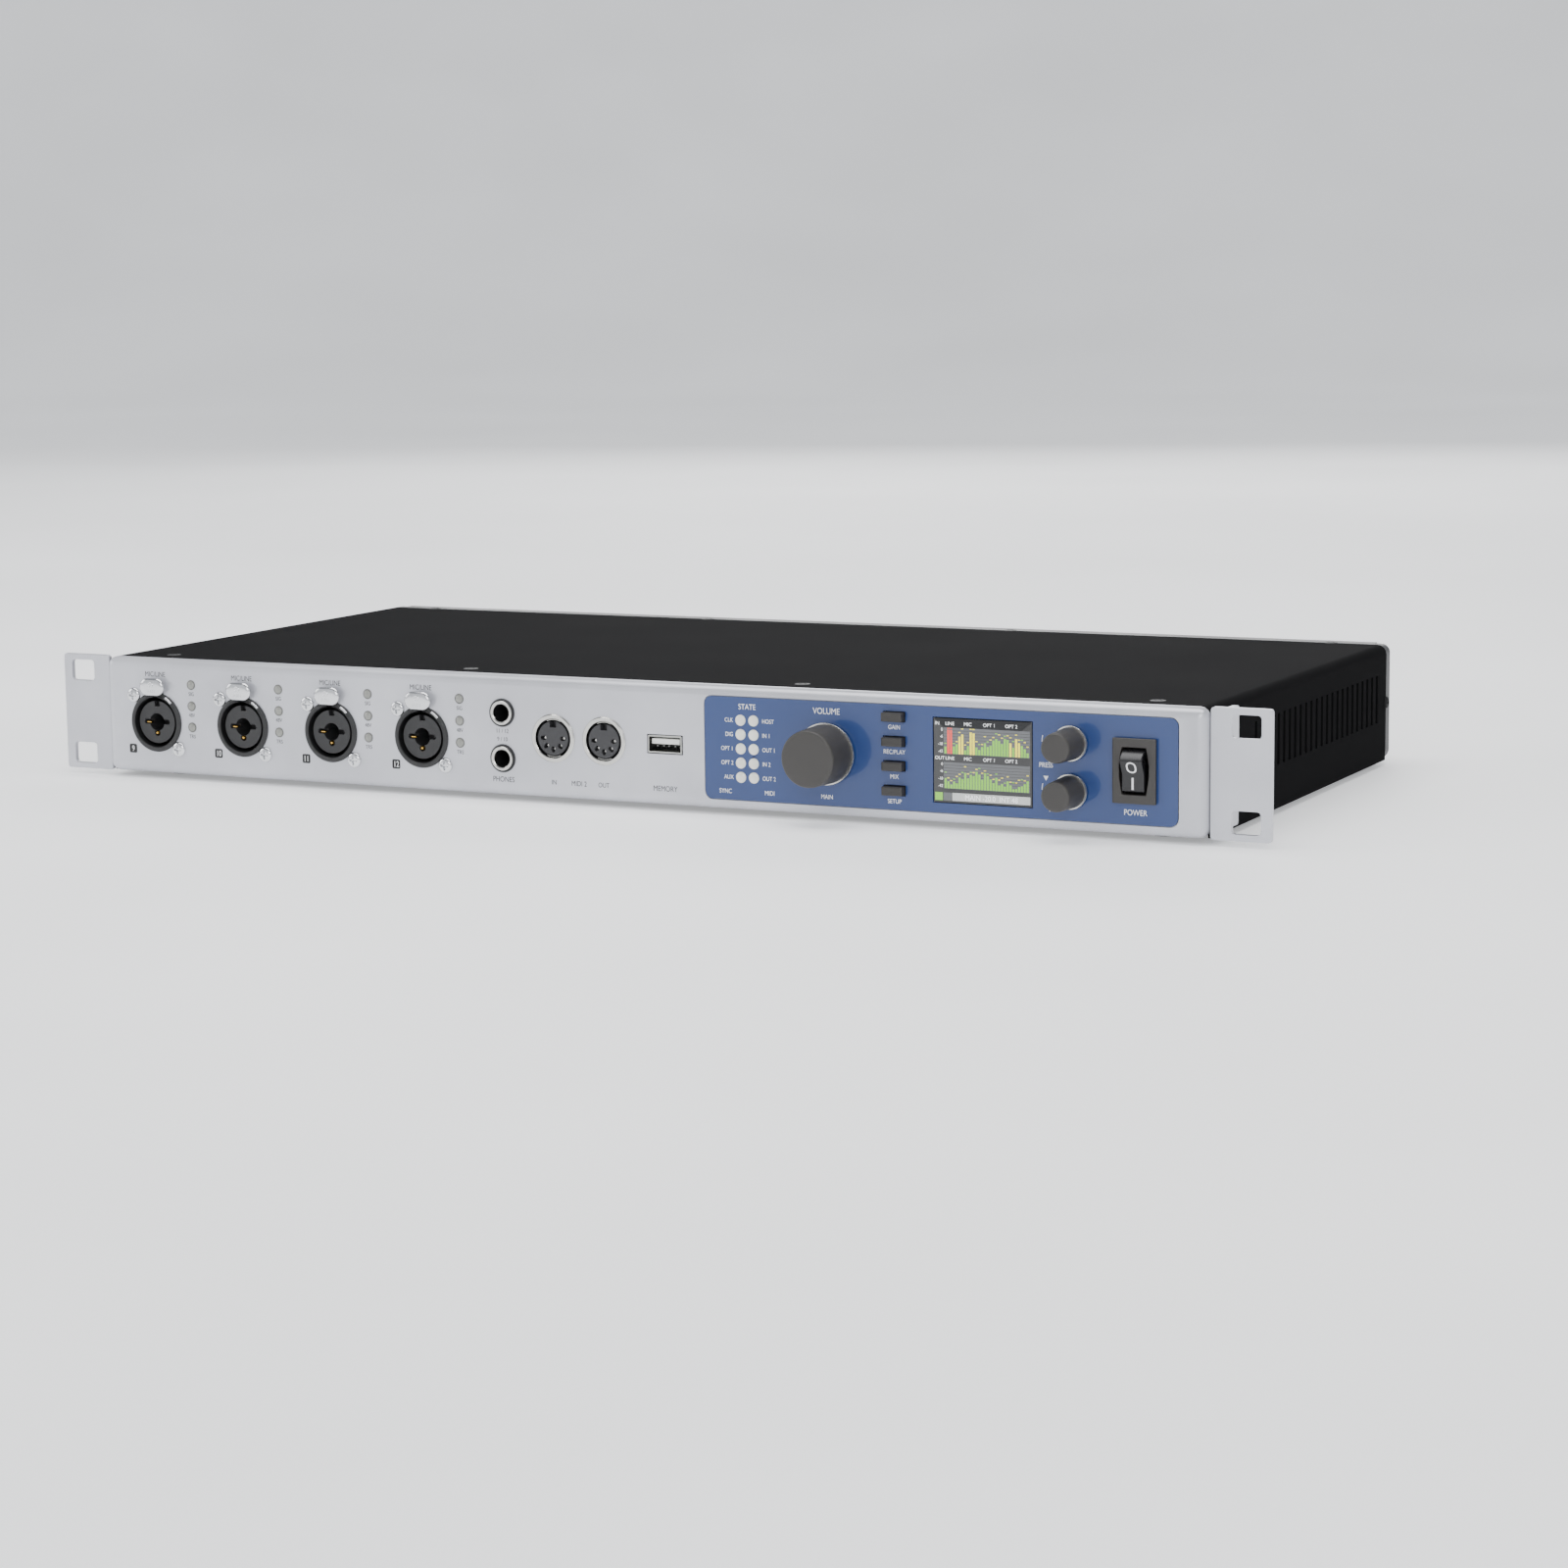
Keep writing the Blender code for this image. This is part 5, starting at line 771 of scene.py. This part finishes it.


# ==== Host and remote ports ===============================================================
# A square port with cut upper corners and an upright flat one, both of folded plated steel,
# with grey tongues that carry gold contacts.

fair_copy("host_port", tin_plate, edge=0.12)
spot = spot_of("host_port", REAR)
tongue = [(0, 0, 0, -8.9), (2.9, 1.7, 0.2, -8.9), (2.9, 1.7, 0.2, -1.0), (2.7, 1.5, 0.2, -0.8),
          (0, 0, 0, -0.8)]
parts = [layers(tongue, place((0, 0.1, 0), spot, REAR), REAR, disc_nylon, 24)]
for across in (-1.3, 1.3):
    for up in (-1.75, 1.95):
        parts.append(block((across - 0.45, up - 0.1, -6.0), (across + 0.45, up + 0.1, -1.4),
                           spot, REAR, gold))
make_piece("host_port_tongue", parts, "housing")
spot = spot_of("remote_port", REAR)
parts = [port_shell(3.5, 7.35, 0.6, 8.8, spot, REAR, tin_plate),
         layers([(0, 0, 0, -8.7), (0.95, 6.1, 0.2, -8.7), (0.95, 6.1, 0.2, -0.7),
                 (0.8, 5.9, 0.2, -0.55), (0, 0, 0, -0.55)],
                place((0.9, 0, 0), spot, REAR), REAR, disc_nylon, 24)]
for up in (-3.5, -1.0, 1.0, 3.5):
    parts.append(block((-0.25, up - 0.45, -6.0), (0.02, up + 0.45, -1.0), spot, REAR, gold))
make_piece("remote_port_fitted", parts, "housing", ["remote_port"])


# ==== Optical sockets =====================================================================
# Two double housings. Each well is closed by a sprung shutter that swings inwards; inputs
# have pale shutters and outputs dark ones.

pale_shutter = finish("grey_polycarbonate_moulded", "#6a6b6c", 0.4, 0.3, 0.004)
dark_shutter = finish("black_polycarbonate_moulded", "#202022", 0.35, 0.3, 0.004)
for number in (1, 2):
    fair_copy(f"optical_housing_{number}", inlet_plastic, edge=0.1)
for number in range(1, 5):
    node = f"optical_shutter_{number}"
    kind = pale_shutter if number % 2 else dark_shutter
    fair_copy(node, kind, edge=0.15)
    low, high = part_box(node)
    spot = np.array([(low.x + high.x) / 2, high.y, (low.z + high.z) / 2])
    pip = [(0, 0, 0, -0.3), (2.3, 0.45, 0.4, -0.3), (2.3, 0.45, 0.4, 0.15), (2.1, 0.3, 0.3, 0.28),
           (0, 0, 0, 0.3)]
    make_piece(f"optical_grip_{number}",
               [layers(pip, place((0, -1.9, 0), spot, REAR), REAR, kind, 24)],
               f"{node}_body")


# ==== Clock sockets =======================================================================
# Two nickel-plated bayonet sockets, each with a washer, a hexagon nut, a threaded root, two
# lugs, a white insulator and a gold centre contact.

white_insulator = finish("white_ptfe_turned", "#dddcd6", 0.4, 0.3, 0.003)
for number in (1, 2):
    node = f"clock_socket_{number}"
    spot = spot_of(node, REAR)
    washer = [(0, 0.0), (8.25, 0.0), (8.25, 0.55), (8.1, 0.65), (0, 0.65)]
    nut = [(0, 0.65), (7.5, 0.65), (7.9, 0.95), (7.9, 3.0), (7.4, 3.3), (0, 3.3)]
    thread = [(4.75 + 0.22 * (row % 2), 3.3 + 0.28 * row) for row in range(13)]
    barrel = [(0, -10.5), (5.2, -10.5), (5.2, -2.6), (4.75, -2.4), *thread, (4.75, 7.0),
              (4.75, 17.5), (4.6, 17.8), (4.25, 17.8), (4.1, 17.6), (4.1, 9.9), (0, 9.9)]
    sleeve = [(0, 9.8), (2.1, 9.8), (2.1, 15.0), (1.95, 15.2), (1.0, 15.2), (0.95, 15.0),
              (0.95, 11.0), (0, 11.0)]
    pin = [(0, 10.9), (0.8, 10.9), (0.8, 15.6), (0.6, 15.9), (0.35, 15.9), (0.3, 15.6), (0, 12.0)]
    parts = [layers(washer, spot, REAR, zinc_plate, 64), layers(nut, spot, REAR, nickel, 6),
             layers(barrel, spot, REAR, nickel, 80), layers(sleeve, spot, REAR, white_insulator),
             layers(pin, spot, REAR, gold, 24)]
    for sign in (-1, 1):
        lug = np.array([[sign * 4.5, 0, 12.8], [sign * 5.5, 0, 12.8], [sign * 5.9, 0, 12.8],
                        [sign * 6.0, 0, 12.8]])
        parts.append(tube(lug, 1.0, spot, REAR, nickel, square_to=(0, 1, 0), count=20))
    make_piece(f"{node}_turned", parts, "housing", [node])


# ==== Three-pin sockets ===================================================================
# Black die-cast sockets with round collars, held by two black screws each. The outputs show
# three gold pins in a well, and the input has three holes in an insert and a chromed latch.

black_zinc = finish("black_plated_screw_steel", "#161617", 0.5, 0.4, 0.003, Specular_IOR_Level=0.2)


def die_cast(spot, bore, depth):
    """The socket's hidden shell with its turned collar and its bore."""
    levels = [(0, -20.5), (12.0, -20.5), (12.0, -2.2), (10.85, -2.2), (10.85, 0.02), (11.2, 0.02),
              (11.2, 0.25), (10.95, 0.7), (10.6, 0.85), (bore + 1.1, 0.85), (bore + 0.4, 0.55),
              (bore, 0.1), (bore, -depth), (0, -depth)]
    return layers(levels, spot, REAR, nylon, 96)


def pan_screws(spot):
    """Two black screws at opposite corners of a socket."""
    return [screw(place((shift, -shift, 0), spot, REAR), REAR, black_zinc)
            for shift in (-9.9, 9.9)]


for node in ("digital_out_socket", "main_out_socket_1", "main_out_socket_2"):
    spot = spot_of(node, REAR)
    parts = [die_cast(spot, 8.2, 13.5)]
    for across, up in ((-4.15, 0), (4.15, 0), (0, -4.15)):
        pin = [(0, -13.7), (1.2, -13.7), (1.2, -3.7), (1.05, -3.1), (0.7, -2.8), (0, -2.7)]
        parts.append(layers(pin, place((across, up, 0), spot, REAR), REAR, gold, 32))
    ledge = block((-1.9, 6.6, -9.0), (1.9, 8.4, -1.3), spot, REAR, insert_nylon)
    strip = block((-1.5, 6.35, -8.0), (1.5, 6.7, -1.2), spot, REAR, chrome)
    make_piece(f"{node}_fitted", parts + [ledge, strip], "housing", [node])
    make_piece(f"{node}_screws", pan_screws(spot), "housing", sharp=50)


def female_height(across, up):
    """The input's insert, sunk at its three contact holes, its key and its latch window."""
    holes = [disc(across, up, x, z, 1.45) for x, z in ((-4.15, 0.4), (4.15, 0.4), (0, -3.9))]
    key = panel(across, up, 0, 6.6, 2.0, 1.3)
    return -0.2 - np.maximum.reduce([holes[0] * 6, holes[1] * 6, holes[2] * 6, key * 3])


spot = spot_of("digital_out_socket", REAR)
spot[0] = spot_of("digital_in_latch", REAR)[0]
parts = [relieved(die_cast(spot, 9.3, 11.5), "digital_in_latch", spot, REAR),
         relief(8.0, female_height, [(8.05, -1.0), (8.05, -11.4), (0, -11.4)], spot, REAR,
                insert_nylon, 64, 144)]
for across, up in ((-4.15, 0.4), (4.15, 0.4), (0, -3.9)):
    socket = [(1.35, -5.8), (1.35, -0.7), (1.0, -0.6), (0.85, -0.7), (0.85, -5.8), (1.35, -5.8)]
    parts.append(layers(socket, place((across, up, 0), spot, REAR), REAR, gold, 24))
make_piece("digital_in_fitted", parts, "housing", ["digital_in_socket"])
make_piece("digital_in_screws", pan_screws(spot), "housing", sharp=50)
spot[2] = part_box("digital_in_latch")[1].z - 3.3 * MM
oval_tab("digital_in_tab", spot, REAR, "digital_in_latch_body", "digital_in_latch")


# ==== Line jacks ==========================================================================
# Fourteen quarter-inch jacks with bright ferrules in black collars, on two moulded gangs.

for node, columns in (("line_output_jacks", 3), ("line_input_jacks", 4)):
    spot = spot_of(node, REAR)
    half = (columns - 1) / 2 * 15.87
    back = [(0, 0, 0, -19.5), (half + 6.9, 15.1, 0.5, -19.5), (half + 6.9, 15.1, 0.5, -20.8),
            (0, 0, 0, -20.8)]
    parts = [layers(back, spot, REAR, nylon, 16)]
    for across in np.linspace(-half, half, columns):
        for up in (-8.2, 8.2):
            parts += jack(place((across, up, 0), spot, REAR), REAR, 4.75, 4.5)
    make_piece(f"{node}_fitted", parts, "housing", [node])


# ==== Case screws =========================================================================
# Countersunk cross-head screws hold the ears and the cover; a pan-head screw in each side of
# the rear panel holds the cover's corner.

SIDES = {-1: np.array([[0, -1, 0], [0, 0, 1], [-1, 0, 0]]),
         1: np.array([[0, 1, 0], [0, 0, 1], [1, 0, 0]])}
TOP = np.array([[1, 0, 0], [0, 1, 0], [0, 0, 1]])


def flat_screw(spot, side, material, radius):
    """A countersunk head: a nearly flat disc with a cross-shaped hollow and a thin dark seat."""
    def height(across, up):
        bar = 0.24 * radius - 0.07 * np.hypot(across, up)
        cross = np.maximum(step(bar - abs(across), 0.16) * step(0.6 * radius - abs(up), 0.2),
                           step(bar - abs(up), 0.16) * step(0.6 * radius - abs(across), 0.2))
        return 0.14 - 0.12 * (np.hypot(across, up) / radius) ** 6 - 0.12 * cross
    return relief(radius, height, [(radius, 0.0), (0, 0.0)], spot, side, material, 26, 64)


for hand, sign in (("left", -1), ("right", 1)):
    low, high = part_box(f"rack_ear_{hand}")
    leaf = sign * (abs(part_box("top_cover")[1].x) + 2.3 * MM)
    ear_spot = np.array([leaf, panel_face + 15.6 * MM, middle])
    screws = [flat_screw(place((0, up, 0), ear_spot, SIDES[sign]), SIDES[sign], zinc_plate, 3.9)
              for up in (-14.5, 14.5)]
    make_piece(f"ear_screws_{hand}", screws, "housing", sharp=50)
    side_spot = np.array([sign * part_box("top_cover")[1].x, rear_face - 5.5 * MM, middle])
    make_piece(f"side_screw_{hand}",
               [screw(side_spot, SIDES[sign], black_zinc, 2.2, 0.9)], "housing",
               sharp=50)
cover_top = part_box("top_cover")[1].z
screws = [flat_screw(np.array([across * MM, depth, cover_top]), TOP, black_zinc, 2.7)
          for across in (-198, -67, 67, 198)
          for depth in (panel_face + 14 * MM, rear_face - 5 * MM)]
make_piece("cover_screws", screws, "housing", sharp=50)


# ==== Rear print ==========================================================================
# White names, jack numbers, two dividing lines and the links between paired jacks.

names = []
for text, across, up, cap, stretch in (
        ("100-240 V AC", -183.2, 12.7, 2.0, 1.25), ("50-60 Hz", -190.0, -15.6, 2.0, 1.25),
        ("MIDI 1", -96.2, 12.7, 2.0, 1.3), ("OUT", -106.6, 7.6, 1.7, 1.2),
        ("IN", -86.3, 7.7, 1.7, 1.2), ("OUT", -106.6, -15.8, 1.7, 1.2),
        ("IN", -86.4, -15.8, 1.7, 1.2), ("OUT", -57.4, 16.3, 1.5, 1.1),
        ("IN", -43.6, 16.3, 1.5, 1.1), ("OUT", -30.5, 16.3, 1.5, 1.1),
        ("IN", -17.2, 16.3, 1.5, 1.1), ("OPT 2", -50.3, 2.8, 1.8, 1.25),
        ("OPT 1", -23.6, 2.8, 1.8, 1.25), ("USB", -66.6, -16.5, 1.7, 1.25),
        ("REMOTE", -50.9, -16.5, 1.7, 1.25), ("CLOCK", -25.9, -16.5, 1.7, 1.25),
        ("DIGITAL", 21.9, 16.0, 1.9, 1.25), ("OUT", 8.9, -16.4, 1.7, 1.2),
        ("IN", 34.3, -16.4, 1.7, 1.2), ("2", 111.7, 15.0, 2.0, 1.1), ("1", 136.5, 15.0, 2.0, 1.1),
        ("BALANCED LINE LEVEL OUTPUTS", 99.1, -16.3, 1.8, 1.22),
        ("BALANCED LINE LEVEL INPUTS", 184.2, -16.1, 1.8, 1.22)):
    names.append(words(text, (across, up), cap, rear_centre, REAR, white_ink, stretch))
for first, columns, top in ((63.2, 3, 7), (164.3, 4, 7)):
    for column in range(columns):
        for row, up in enumerate((15.1, -1.3)):
            names.append(words(str(top - 2 * column + row), (first + 15.8 * column, up), 1.9,
                               rear_centre, REAR, white_ink, 1.1))
for first, columns in ((57.1, 3), (158.6, 4)):
    for column in range(columns - 1):
        for up in (9.1, -7.3):
            start = first + 15.87 * column + 5.4
            names.append(block((start, up - 0.2, 0.0), (start + 5.1, up + 0.2, 0.03), rear_centre,
                               REAR, white_ink))
for across in (48.9, 150.8):
    names.append(block((across - 0.2, -16.7, 0.0), (across + 0.2, 17.0, 0.03), rear_centre, REAR,
                       white_ink))
make_piece("rear_print", names, "housing")


# ==== Stage, light and camera =========================================================================
# White paper that curves up all round, with softboxes overhead, in front, at the left and
# behind. The camera stands to the right and a little above.

paper = finish("white_backdrop_paper", "#f6f6f6", 0.7, 3.0, 0.02, cloud=400.0,
               Emission_Color=linear("#f6f8fb"), Emission_Strength=0.42)
reach = np.linspace(0.05, 8.0, 60)[:, None]
turn = np.linspace(0, 2 * np.pi, 96, endpoint=False)
rise = np.broadcast_to(0.25 * np.maximum(reach - 3.5, 0) ** 2, (60, 96))
floor_points, quads = shell(np.stack([reach * np.cos(turn), reach * np.sin(turn), rise], axis=-1))
floor_mesh = bpy.data.meshes.new("backdrop")
floor_mesh.from_pydata(floor_points.tolist(), [], quads + [list(range(96))])
floor_mesh.materials.append(paper)
floor_mesh.shade_smooth()
floor = bpy.data.objects.new("backdrop", floor_mesh)
bpy.context.scene.collection.objects.link(floor)

world = bpy.data.worlds.new("studio")
bpy.context.scene.world = world
world.use_nodes = True
world.node_tree.nodes["Background"].inputs["Color"].default_value = linear("#e9edf4")
world.node_tree.nodes["Background"].inputs["Strength"].default_value = 0.4


def softbox(name, place, target, width, height, power):
    """A rectangular lamp that faces its target."""
    lamp = bpy.data.lights.new(name, "AREA")
    lamp.shape = "RECTANGLE"
    lamp.size = width
    lamp.size_y = height
    lamp.energy = power
    holder = bpy.data.objects.new(name, lamp)
    bpy.context.scene.collection.objects.link(holder)
    holder.location = place
    holder.rotation_euler = (Vector(target) - Vector(place)).to_track_quat("-Z", "Y").to_euler()


softbox("overhead_softbox", (0.0, -0.15, 1.5), (0, 0, 0), 1.8, 1.0, 26)
softbox("front_softbox", (0.9, -1.9, 0.9), (0.1, 0, 0), 1.2, 0.8, 16)
softbox("left_softbox", (-1.8, -0.9, 0.7), (0, 0, 0), 0.8, 0.9, 9)
softbox("rear_softbox", (-0.6, 1.9, 0.8), (0, 0, 0), 1.4, 0.8, 14)

camera = bpy.data.cameras.new("camera")
camera.sensor_width = 36.0
camera.lens = 82.3
camera.clip_start = 0.05
view = bpy.data.objects.new("camera", camera)
bpy.context.scene.collection.objects.link(view)
turn, tilt, roll = np.radians((26.12, 8.43, -0.673))
backward = np.array([np.sin(turn) * np.cos(tilt), -np.cos(turn) * np.cos(tilt), np.sin(tilt)])
level = np.array([np.cos(turn), np.sin(turn), 0.0])
upright = np.cross(backward, level)
rows = [level * np.cos(roll) + upright * np.sin(roll),
        upright * np.cos(roll) - level * np.sin(roll), backward, (0.60598, -1.20555, 0.19421)]
view.matrix_world = Matrix([(*row, end) for row, end in zip(rows, (0, 0, 0, 1))]).transposed()
bpy.context.scene.camera = view
